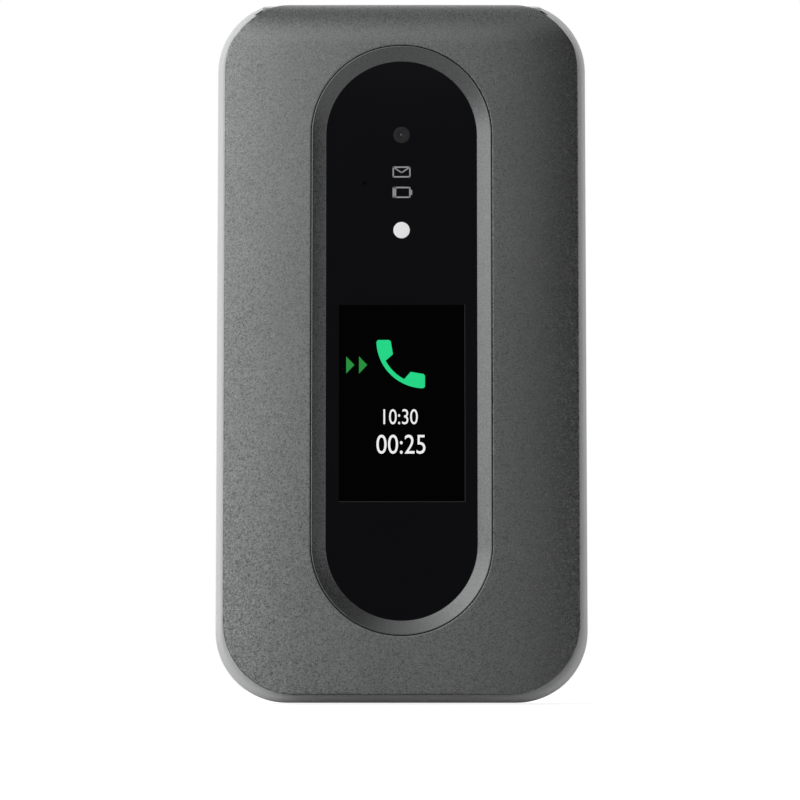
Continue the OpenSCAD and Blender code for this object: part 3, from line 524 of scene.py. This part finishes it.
def near_edge(d, depth_of):
    return cover_ring(lambda span: span - d, depth_of)


def side_depth(x, s):
    """How deep the cover's side goes at its edge."""
    drop = crown_drop(x)
    if s <= HINGE_Z:
        return COVER_BACK_Y - FACE_Y - drop
    turn = (s - HINGE_Z) / ROLL_R
    if turn >= math.pi / 2:
        return SKIN
    r = ROLL_R - drop * math.cos(turn) ** 2
    return max(SKIN, r - (HINGE_Y - COVER_BACK_Y) / max(math.cos(turn), 0.05))


def inner_depth(x, s):
    return SKIN


first, last = HOLE_STEPS[-1], EDGE_STEPS[0]
rings = [near_hole(d, lambda x, s: round_off(d, LIP_R)) for d in HOLE_STEPS]
rings += [cover_ring(lambda span: first + (span - first - last) * k / BETWEEN, lambda x, s: 0.0)
          for k in range(1, BETWEEN)]
rings += [near_edge(d, lambda x, s: round_off(d, EDGE_R)) for d in EDGE_STEPS]
rings += [near_edge(0.0, lambda x, s: (EDGE_R + side_depth(x, s)) / 2),
          near_edge(0.0, side_depth), near_edge(WALL, side_depth),
          near_edge(WALL + 0.1, inner_depth), near_hole(0.5, inner_depth),
          near_hole(0.0, inner_depth)]
cover = loft("cover_shell", rings, cover_paint, wrap=True)
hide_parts("outer_cover")
print("cover:", len(cover.data.polygons), "faces")

# %% [markdown]
# ## Ends of the roll
#
# Beside the cover's round corners the pale frame shows, as a strip that follows the roll about
# the hinge. It is a grid over the angle of the roll, between the cover's edge and the phone's
# outline, a hair above the frame, and thick enough to close the room behind the cover's end.

# %% Two smooth roll ends
OUT_W, OUT_R = cad_high.x / MM, 10.8   # the phone's outline: half its width, its corner radius
STRIP_R = ROLL_R - 0.24
STRIP_DEPTH = 1.0
STRIP_FRONT, STRIP_BACK = math.radians(63), math.radians(146)
UNDER = 0.25                           # how far the strip runs in under the cover's edge
LEAST = 0.02                           # least width of the strip beyond that
PAST = 0.03                            # turn behind the cover's end where the strip widens
CHEEK_X = 18.25                        # inner end of the strip there
SHOULDER = 1.05                        # rounding of the frame's side towards the back


def strip_ends(a):
    """Where the strip starts and ends across the phone, at angle a of the roll."""
    up = max(HINGE_Z + STRIP_R * math.sin(a) - (HINGE_Z + ROLL_R - OUT_R), 0)
    out = OUT_W - OUT_R + math.sqrt(max(OUT_R ** 2 - up ** 2, 0))
    sunk = max(SHOULDER - (HINGE_Y - STRIP_R * math.cos(a) - COVER_BACK_Y), 0)
    out -= SHOULDER - math.sqrt(max(SHOULDER ** 2 - sunk ** 2, 0))
    edge = half_width(HINGE_Z + ROLL_R * a) - UNDER
    return (CHEEK_X if a > WRAP + PAST else edge), max(out, edge + LEAST)


def roll_end(name, side):
    rings, steps, columns = [], 60, 6
    for i in range(steps + 1):
        a = STRIP_FRONT + (STRIP_BACK - STRIP_FRONT) * i / steps
        start, stop = strip_ends(a)
        xs = [side * (start + (stop - start) * k / columns) for k in range(columns + 1)]
        rings.append([(x, HINGE_Y - r * math.cos(a), HINGE_Z + r * math.sin(a))
                      for r, row in ((STRIP_R, xs), (STRIP_R - STRIP_DEPTH, xs[::-1]))
                      for x in row])
    piece = loft(name, rings, silver_band)
    print(name, "covers the frame beside the roll,", len(piece.data.polygons), "faces")


roll_end("roll_end_right", 1)
roll_end("roll_end_left", -1)

# %% [markdown]
# ## The trim ring
#
# A separate ring, painted with a finer grain, slopes from the cover down to the window. It is a
# profile swept round the pill: a small rounded outer edge, the slope, and a lip that meets the
# glass.

# %% Sweep the trim
def trim_ring():
    outer_r, border, lip, steps = GLASS_R + TRIM, 0.16, 0.12, 12
    foot_y = GLASS_Y - 0.02
    # Each step has its radius, how deep it lies in the cover, and its share of the way down
    profile = [(outer_r - inset, sink, 0) for inset, sink in (
        (0.0, 1.5), (0.0, 0.12), (0.03, 0.05), (0.09, 0.01), (border, 0.0))]
    profile += [(outer_r - border - (TRIM - border - lip) * k / steps, 0, k / steps)
                for k in range(1, steps + 1)]
    rings = []
    for r, sink, share in profile:
        tops = [cover_point(x, s, sink) for x, s in pill_path(r)]
        rings.append([(x, y + (foot_y - y) * share, z) for x, y, z in tops])
    for r, y in ((GLASS_R + 0.06, GLASS_Y + 0.02), (GLASS_R + 0.02, GLASS_Y + 0.12),
                 (GLASS_R + 0.02, GLASS_Y + 0.3), (outer_r, GLASS_Y + 0.3)):
        rings.append([(x, y, s) for x, s in pill_path(r)])
    return loft("trim_ring", rings, trim_paint, wrap=True)


trim = trim_ring()
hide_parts("window_trim")
print("trim:", len(trim.data.polygons), "faces")

# %% [markdown]
# ## What shows in the front window
#
# Camera, sensor, icons, flash and display lie in the window. Flat marks are outlines drawn as
# strokes: a stroke is a thin bar with round ends between two points, so an envelope or a battery
# is a short list of bars.

# %% Plates and strokes in the window
MARK_Y = GLASS_Y - 0.012
LIT_Y = GLASS_Y - 0.02


def plate(name, loops, finish, y=MARK_Y, edge=0.01, body="lid"):
    """Thin plates with softened edges, from closed x-z outlines."""
    verts, faces, thick = [], [], 0.05
    for loop in loops:
        n, start = len(loop), len(verts)
        cx = sum(p[0] for p in loop) / n
        cz = sum(p[1] for p in loop) / n
        for inset, depth in ((edge, 0), (0, edge), (0, thick)):
            for x, z in loop:
                k = 1 - inset / max(math.dist((x, z), (cx, cz)), 1e-6)
                verts.append((cx + (x - cx) * k, y + depth, cz + (z - cz) * k))
        faces += [tuple(start + i for i in f) for f in ring_faces(3, n)]
    piece = new_piece(name, verts, faces, finish, body)
    return piece


def disc(x, z, r, n=48):
    return [(x + r * math.cos(2 * math.pi * i / n), z + r * math.sin(2 * math.pi * i / n))
            for i in range(n)]


def stroke(a, b, width):
    """A bar with round ends from a to b."""
    turn = math.atan2(b[1] - a[1], b[0] - a[0])
    loop, steps = [], 8
    for end, start in ((b, -90), (a, 90)):
        for i in range(steps + 1):
            t = turn + math.radians(start + 180 * i / steps)
            loop.append((end[0] + width / 2 * math.cos(t), end[1] + width / 2 * math.sin(t)))
    return loop


def strokes(points, width, closed=False):
    ends = points[1:] + points[:1] if closed else points[1:]
    return [stroke(a, b, width) for a, b in zip(points, ends)]


# %% [markdown]
# Camera, sensor and flash are turned: rings about an axis, from a short list of radii and
# depths. The lens and the flash end in a low dome.

# %% Camera, sensor and flash
def round_piece(name, x, z, profile, finish, n=64):
    """A turned piece on an axis along Y, from (radius, y) pairs."""
    rings = [[(px, y, pz) for px, pz in disc(x, z, r, n)] for r, y in profile]
    piece = loft(name, rings, finish)
    return piece


def dome(r, tip, foot_y, rise, angles):
    """The profile of a low dome, from its foot to a tip of small radius."""
    return [(max(r * math.sin(a), tip), foot_y - rise * math.cos(a))
            for a in map(math.radians, angles)]


CAMERA_Z, FLASH_Z = 86.24, 71.6
ring_black = gloss("ring_black", (0.0165, 0.0165, 0.0165), 0.45, 0.08)
hole_black = gloss("hole_black", (0.001, 0.001, 0.001), 0.6, 0.02)
round_piece("camera_ring", 0, CAMERA_Z, (
    (1.26, GLASS_Y + 0.1), (1.26, GLASS_Y - 0.012), (1.23, GLASS_Y - 0.018),
    (0.3, GLASS_Y - 0.018), (0.27, GLASS_Y - 0.005), (0.26, GLASS_Y + 0.04)), ring_black)
round_piece("camera_lens", 0, CAMERA_Z, dome(0.26, 0.005, GLASS_Y + 0.03, 0.06, range(86, 1, -7)),
            lens_black, n=32)
round_piece("light_sensor", -5.62, 78.83, (
    (0.32, GLASS_Y + 0.05), (0.32, GLASS_Y - 0.01), (0.3, GLASS_Y - 0.013),
    (0.24, GLASS_Y - 0.013), (0.2, GLASS_Y - 0.004)), hole_black, n=32)
round_piece("flash_window", 0, FLASH_Z, [(1.25, GLASS_Y + 0.05)] + dome(
    1.25, 0.01, GLASS_Y - 0.01, 0.05, range(86, 0, -12)), flash_lens)
print("camera at", CAMERA_Z, "and flash at", FLASH_Z, "mm")

# %% Envelope and battery icons
ICON = 0.21                            # width of an icon's strokes
ICON_W, ICON_H = 2.74, 1.7
ENVELOPE_Z, CHARGE_Z = 80.53, 77.4
half_w, half_h = (ICON_W - ICON) / 2, (ICON_H - ICON) / 2


def frame_of(z):
    corners = [(-half_w, z - half_h), (half_w, z - half_h), (half_w, z + half_h),
               (-half_w, z + half_h)]
    return strokes(corners, ICON, closed=True)


flap = [(-half_w, ENVELOPE_Z + half_h), (0, ENVELOPE_Z - 0.1), (half_w, ENVELOPE_Z + half_h)]
plate("envelope_icon", frame_of(ENVELOPE_Z) + strokes(flap, ICON * 0.85), mark_grey)
nose = [(half_w + 0.24, CHARGE_Z - 0.28), (half_w + 0.24, CHARGE_Z + 0.28)]
left_bar = [(-half_w + 0.3, CHARGE_Z - half_h), (-half_w + 0.3, CHARGE_Z + half_h)]
plate("battery_icon", frame_of(CHARGE_Z) + strokes(nose, ICON) + strokes(left_bar, ICON * 1.35),
      mark_grey)
print("two icons,", ICON_W, "mm wide")

# %% [markdown]
# The display shows a call: a handset, two small arrows that point to it, and two lines of
# digits. The handset is a swept arc with two blocks, in plain outlines.

# %% The lit display
DISPLAY_X = 9.5
DISPLAY_LOW, DISPLAY_TOP = 30.35, 60.15
# Where the painted highlight on the display's right and lower edges lies
HIGHLIGHT_X, HIGHLIGHT_LOW = DISPLAY_X + 0.1, DISPLAY_LOW - 0.1
plate("display_area", [[(-DISPLAY_X, DISPLAY_LOW), (DISPLAY_X, DISPLAY_LOW),
                        (DISPLAY_X, DISPLAY_TOP), (-DISPLAY_X, DISPLAY_TOP)]],
      screen_black, y=GLASS_Y - 0.006, edge=0.002)
# A grey line along the display's right and lower edges is a painted highlight, where light falls
# on these two edges
edge_highlight_grey = gloss("edge_highlight_grey", (0.012, 0.012, 0.012), 0.3, 0.3)
plate("display_edge_highlight", strokes([(HIGHLIGHT_X, DISPLAY_TOP), (HIGHLIGHT_X, HIGHLIGHT_LOW), (-DISPLAY_X, HIGHLIGHT_LOW)],
                             0.08),
      edge_highlight_grey, y=GLASS_Y - 0.008, edge=0.002)


def arrow_head(x, z, width, tall):
    return [(x - width / 2, z - tall / 2), (x + width / 2, z), (x - width / 2, z + tall / 2)]


def handset(x, z, size, turn=0.0):
    """A telephone receiver about x, z: a quarter-circle grip between two blunt ends."""
    grip_r, steps = 0.91, 12

    def arc(r, start, end):
        angles = [math.radians(start + (end - start) * i / steps) for i in range(steps + 1)]
        return [(r * math.cos(a), r * math.sin(a)) for a in angles]

    end = [(0.0, -0.985), (0.015, -0.96), (0.015, -0.74), (-0.01, -0.7), (-0.283, -0.655),
           (-0.42, -0.81)]
    half = arc(1.0, 225, 268) + end + arc(grip_r, 242, 225)
    loop = half + [(pz, px) for px, pz in half[::-1]]
    shifted = [((px + 0.5) * size, (pz + 0.5) * size) for px, pz in loop]
    cos, sin = math.cos(turn), math.sin(turn)
    return [[(x + px * cos - pz * sin, z + px * sin + pz * cos) for px, pz in shifted]]


plate("call_sign", handset(-0.19, 51.07, 7.25), sign_green, y=LIT_Y)
plate("call_arrows", [arrow_head(x, 51.0, 1.24, 2.62) for x in (-7.77, -5.83)],
      sign_dim_green, y=LIT_Y)
print("display", 2 * DISPLAY_X, "mm wide")

# %% [markdown]
# Digits come from Blender's own plain font. A text object is a curve, so it is turned into a
# mesh before it is placed: then it exports and rides like any other piece.

# %% Digits as meshes
X_HEIGHT = 0.48                        # of the font's size of type
PRINT_THICK = 0.03


def label(name, words, x, z, finish, y, body="lid", tall=None, wide=None,
          em=None):
    """Text facing the viewer at -Y, centred on x, z and tall millimetres high.

    With em instead of tall, all words share that size of type and one baseline."""
    curve = bpy.data.curves.new(name, "FONT")
    curve.body = words
    curve.align_x, curve.align_y = "CENTER", "TOP_BASELINE" if em else "CENTER"
    curve.resolution_u = 5
    curve.extrude = 0.5
    text = add(name, curve)
    mesh = bpy.data.meshes.new_from_object(text)
    bpy.data.objects.remove(text)
    xs = [v.co.x for v in mesh.vertices]
    ys = [v.co.y for v in mesh.vertices]
    scale = em or tall / (max(ys) - min(ys))
    mid_x, mid_y = (max(xs) + min(xs)) / 2, X_HEIGHT / 2 if em else (max(ys) + min(ys)) / 2
    stretch = wide / ((max(xs) - min(xs)) * scale) if wide else 1.0
    for v in mesh.vertices:
        px, pz = (v.co.x - mid_x) * scale * stretch, (v.co.y - mid_y) * scale
        v.co = Vector((x + px, y - v.co.z * PRINT_THICK, z + pz)) * MM
    mesh.name = name
    piece = add(name, mesh)
    mesh.materials.clear()
    mesh.materials.append(finish)
    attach(piece, body)
    return piece


label("call_clock", "10:30", -0.15, 43.13, sign_white, LIT_Y, tall=2.3, wide=5.2)
label("call_timer", "00:25", -0.1, 38.95, sign_white, LIT_Y, tall=2.9, wide=7.4)
print("two lines of digits")

# %% [markdown]
# ## Keys
#
# Each key has a softly domed cap. The solid key is a flat prism, so a cap of rings, each smaller
# and higher, replaces it. The digits and signs ride on their own key's body.

# %% Domed key caps
KEY_TOP_Y = -0.62
KEY_ROOT_Y = 1.5
SIGN_Y = KEY_TOP_Y - 0.03
DOME = 0.1
KEY_CORNER = 2.6
RIM_STEPS = ((0.04, 0.17), (0.12, 0.08), (0.26, 0.03), (0.5, 0.0))
DOME_WIDTH, DOME_STEPS = 2.6, 6


def round_rect_path(cx, cz, w, h, r, n=8):
    path = []
    for sx, sz, start in ((1, 1, 0), (-1, 1, 90), (-1, -1, 180), (1, -1, 270)):
        for i in range(n + 1):
            a = math.radians(start + 90 * i / n)
            path.append((cx + sx * (w / 2 - r) + r * math.cos(a),
                         cz + sz * (h / 2 - r) + r * math.sin(a)))
    return path


def key_piece(node, finish, profile, path_at):
    """A cap in place of a key's solid, from pairs of inset and y."""
    rings = [[(x, y, z) for x, z in path_at(inset)] for inset, y in profile]
    piece = loft(node + "_cap", rings, finish, node, smooth=50)
    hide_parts(node)


def key_cap(node, finish, path_at):
    """A cap whose edge is rounded and whose middle rises to a low dome."""
    profile = [(0, KEY_ROOT_Y), (0, KEY_TOP_Y + 0.3)]
    profile += [(inset, KEY_TOP_Y + y + DOME) for inset, y in RIM_STEPS]
    for t in [k / DOME_STEPS for k in range(1, DOME_STEPS + 1)]:
        profile.append((RIM_STEPS[-1][0] + DOME_WIDTH * t,
                        KEY_TOP_Y + DOME - DOME * math.sin(math.pi / 2 * t)))
    key_piece(node, finish, profile, path_at)


def rect_cap(node, w, h):
    """A dark key with round corners. Gives back its middle."""
    low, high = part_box(node)
    cx, cz = (low.x + high.x) / 2 / MM, (low.z + high.z) / 2 / MM
    key_cap(node, key_dark, lambda inset: round_rect_path(
        cx, cz, w - 2 * inset, h - 2 * inset, max(KEY_CORNER - inset, 0.35)))
    return cx, cz


number_keys = {"key_1": ("1", ""), "key_2": ("2", "abc"), "key_3": ("3", "def"),
               "key_4": ("4", "ghi"), "key_5": ("5", "jkl"), "key_6": ("6", "mno"),
               "key_7": ("7", "pqrs"), "key_8": ("8", "tuv"), "key_9": ("9", "wxyz"),
               "key_star": ("*", ""), "key_0": ("0", ""), "key_hash": ("#", "")}
for node, (digit, letters) in number_keys.items():
    cx, cz = rect_cap(node, 14.8, 8.6)
    label(node + "_digit", digit, cx - (2.2 if letters else 0), cz, mark_white, KEY_TOP_Y, node,
          tall=2.2 if digit == "*" else 4.4)
    if letters:
        label(node + "_letters", letters, cx + 2.9, cz - 0.7, mark_white, KEY_TOP_Y, node,
              em=2.5)
for node in ("key_soft_left", "key_soft_right", "key_call", "key_end"):
    cx, cz = rect_cap(node, 11, 11)
    sign, finish = strokes([(cx - 2, cz), (cx + 2, cz)], 0.6), mark_white
    if node == "key_call":
        sign, finish = handset(cx, cz, 4.6), mark_green
    elif node == "key_end":
        sign, finish = handset(cx, cz - 0.9, 4.6, math.radians(-135)), mark_red
    plate(node + "_sign", sign, finish, SIGN_Y, body=node)
print(len(number_keys), "number keys and four more")

# %% [markdown]
# The OK key is round, and the four arrow keys are the quarters of a ring round it.

# %% OK key and arrow ring
RING_Z, RING_R, OK_R = 66.3, 12.0, 5.2
SLIT = 0.5                             # between the OK key and the ring, and between quarters
SIGN_R, TIP_R = 9.0, 0.9               # where the arrow signs lie on the ring, and their size
key_cap("key_ok", key_pale, lambda inset: disc(0, RING_Z, OK_R - inset, 56))
label("key_ok_word", "OK", 0, RING_Z, key_dark, KEY_TOP_Y, "key_ok", tall=2.6)


def arrow_path(angle, inset):
    """A quarter of the ring, drawn in by inset."""
    loop, steps = [], 16
    for r, way in ((RING_R - inset, 1), (OK_R + SLIT + inset, -1)):
        half = math.pi / 4 - math.asin(min((SLIT / 2 + inset) / r, 1))
        for i in range(steps + 1):
            a = angle + way * (-half + 2 * half * i / steps)
            loop.append((r * math.cos(a), RING_Z + r * math.sin(a)))
    return loop


for node, degrees in (("key_up", 90), ("key_left", 180), ("key_down", 270), ("key_right", 0)):
    angle = math.radians(degrees)
    key_piece(node, key_dark, (
        (0, KEY_ROOT_Y), (0, KEY_TOP_Y + 0.3), (0.05, KEY_TOP_Y + 0.14),
        (0.14, KEY_TOP_Y + 0.06), (0.3, KEY_TOP_Y + 0.02), (0.6, KEY_TOP_Y)),
        lambda inset: arrow_path(angle, inset))
    cx, cz = SIGN_R * math.cos(angle), RING_Z + SIGN_R * math.sin(angle)
    tips = [(cx + TIP_R * math.cos(angle + t), cz + TIP_R * math.sin(angle + t))
            for t in (0, 2.25, -2.25)]
    plate(node + "_sign", [tips], mark_white, SIGN_Y, body=node)
print("keys done")

# %% [markdown]
# ## Finishes for the solids that stay
#
# The frames, housings and inner parts keep the solids' own meshes. Each gets its finish by name.

# %% Dress the solids
dress = {
    "front_window": window_black, "inner_window": window_black, "outer_display": screen_black,
    "inner_display": screen_black, "camera_module": inner_plastic, "flash_led": pad_white,
    "status_icons": pad_white, "lid_board": board_green, "main_board": board_green,
    "lid_frame": silver_band, "base_front": pale_deck, "base_back": silver_band,
    "back_cover": cover_paint, "battery": battery_film, "battery_contacts": gold_plate,
    "dome_sheet": stamped_steel, "shield_cans": stamped_steel, "loudspeaker": inner_plastic,
    "vibration_motor": stamped_steel, "usb_port": stamped_steel, "headset_jack": inner_plastic,
    "charging_contacts": gold_plate, "sim_holder": stamped_steel, "antenna": gold_plate,
    "microphone": stamped_steel, "base_screws": stamped_steel, "hinge_cartridge": turned_steel,
    "hinge_spring": turned_steel, "hinge_shaft": turned_steel, "hinge_bush": turned_steel,
    "earpiece": inner_plastic, "earpiece_mesh": mesh_steel, "lid_magnet": stamped_steel,
    "lid_bumpers": soft_rubber, "lid_screws": stamped_steel, "volume_rocker": key_pale,
    "assist_button": key_pale,
}
for name, finish in dress.items():
    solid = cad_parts[name]
    solid.data.materials.clear()
    solid.data.materials.append(finish)
print(len(dress), "solids dressed")

# %% [markdown]
# ## Room, light and camera
#
# The camera sees the phone on a pale floor before plain white. Nearly all the light comes from
# the room. On the camera's side it is bright at the left, dark at the right and pale again at
# the far right, with a narrow dark patch straight in front, which the window mirrors. A weak
# soft lamp stands on the left. So the cover shades from left to right, and the bands on both
# sides catch the walls.

# %% Floor
FLOOR = (0.6, 0.6, 0.6)
reach = 3.0
floor_mesh = bpy.data.meshes.new("floor")
floor_mesh.from_pydata([(-reach, -reach, 0), (reach, -reach, 0), (reach, reach, 0),
                        (-reach, reach, 0)], [], [(0, 1, 2, 3)])
floor = add("floor", floor_mesh)
floor.location.z = -0.0002
pale = Finish("pale_floor", FLOOR, 0.9, Specular_IOR_Level=0.0)
seen = pale.node("ShaderNodeLightPath", output="Is Camera Ray")
pale.set(Emission_Color=pale.blend(seen, tone(FLOOR, 0), tone(FLOOR)), Emission_Strength=1.0)
floor_mesh.materials.append(pale.material)
print("floor", 2 * reach, "m wide")

# %% [markdown]
# The room's light depends on the direction alone. `across`, `along` and `up` are the parts of
# that direction, and each `ramp` blends softly from one level to the next between two values.

# %% World
LEFT_WALL, FRONT_WALL, RIGHT_WALL, FAR_RIGHT = 2.35, 1.35, 0.0, 0.9
BACK_WALL, CEILING, BACK_LEFT = 0.85, 0.82, 0.6
WHITE = (1, 1, 1, 1)
world = bpy.data.worlds.new("room")
bpy.context.scene.world = world
world.use_nodes = True
world.node_tree.nodes.clear()
room = Nodes(world.node_tree)


def ramp(value, low, high, at_low, at_high):
    return room.node("ShaderNodeMapRange", {"interpolation_type": "SMOOTHSTEP"}, {
        "Value": value, "From Min": low, "From Max": high, "To Min": at_low, "To Max": at_high})


axes = room.node("ShaderNodeSeparateXYZ", None,
                 {0: room.node("ShaderNodeTexCoord", output="Generated")})
across, along, up = (Value(room, axes.socket.node.outputs[k]) for k in ("X", "Y", "Z"))
front = (ramp(across, -0.4, -0.08, LEFT_WALL - FRONT_WALL, 0.0)
         + ramp(across, 0.04, 0.38, 0.0, RIGHT_WALL - FRONT_WALL)
         + FRONT_WALL + ramp(across, 0.7, 0.95, 0.0, FAR_RIGHT))
front = front * ramp(across, -0.9, -0.45, 0.6, 1.0)
dark_patch = ramp(across * across, 0.0012, 0.008, 0.95, 0.0) * ramp(up, 0.17, 0.25, 1.0, 0.0)
behind = ramp(along, -0.6, 0.0, 0.0, 1.0)
level = (front * (1.0 - dark_patch) * (1.0 - behind)
         + behind * ramp(up, 0.0, 0.7, BACK_WALL, CEILING))
level = level * (1.0 + behind * ramp(across, -0.3, 0.1, BACK_LEFT, 0.0))
level = level * ramp(up, 0.55, 1.0, 1.0, 0.65)
light = room.node("ShaderNodeBackground", None, {"Color": WHITE, "Strength": level})
white = room.node("ShaderNodeBackground", None, {"Color": WHITE, "Strength": 1.0})
seen = room.node("ShaderNodeLightPath", output="Is Camera Ray")
both = room.node("ShaderNodeMixShader", None, {0: seen, 1: light, 2: white})
room.node("ShaderNodeOutputWorld", None, {"Surface": both})
print("room of", len(world.node_tree.nodes), "nodes")

# %% Lamp
LAMP_PLACE, LAMP_AIM = Vector((-0.55, -0.42, 0.25)), Vector((0, -0.005, 0.053))
data = bpy.data.lights.new("left_lamp", "AREA")
data.shape = "RECTANGLE"
data.size, data.size_y = 0.45, 0.6
data.energy = 0.6
lamp = add("left_lamp", data)
lamp.location = LAMP_PLACE
lamp.rotation_euler = (LAMP_AIM - LAMP_PLACE).to_track_quat("-Z", "Y").to_euler()
print(lamp.name, "gives", round(data.energy, 2), "W")

# %% Camera
DISTANCE = 0.5
LIFT = math.radians(-5)
VIEW_WIDE = 2 * 0.1522 * 400 * MM      # what the picture spans at the aim, in metres
aim = Vector((-0.24, FACE_Y + 4, 45.9)) * MM
camera = add("camera", bpy.data.cameras.new("camera"))
camera.location = aim + DISTANCE * Vector((0, -math.cos(LIFT), math.sin(LIFT)))
camera.rotation_euler = (aim - camera.location).to_track_quat("-Z", "Y").to_euler()
camera.data.sensor_width = camera.data.sensor_height = 36
camera.data.angle = 2 * math.atan(VIEW_WIDE / 2 / DISTANCE)
camera.data.clip_start = 0.01
bpy.context.scene.camera = camera
bpy.context.scene.view_settings.view_transform = "Standard"
print("camera stands at", [round(c, 3) for c in camera.location])
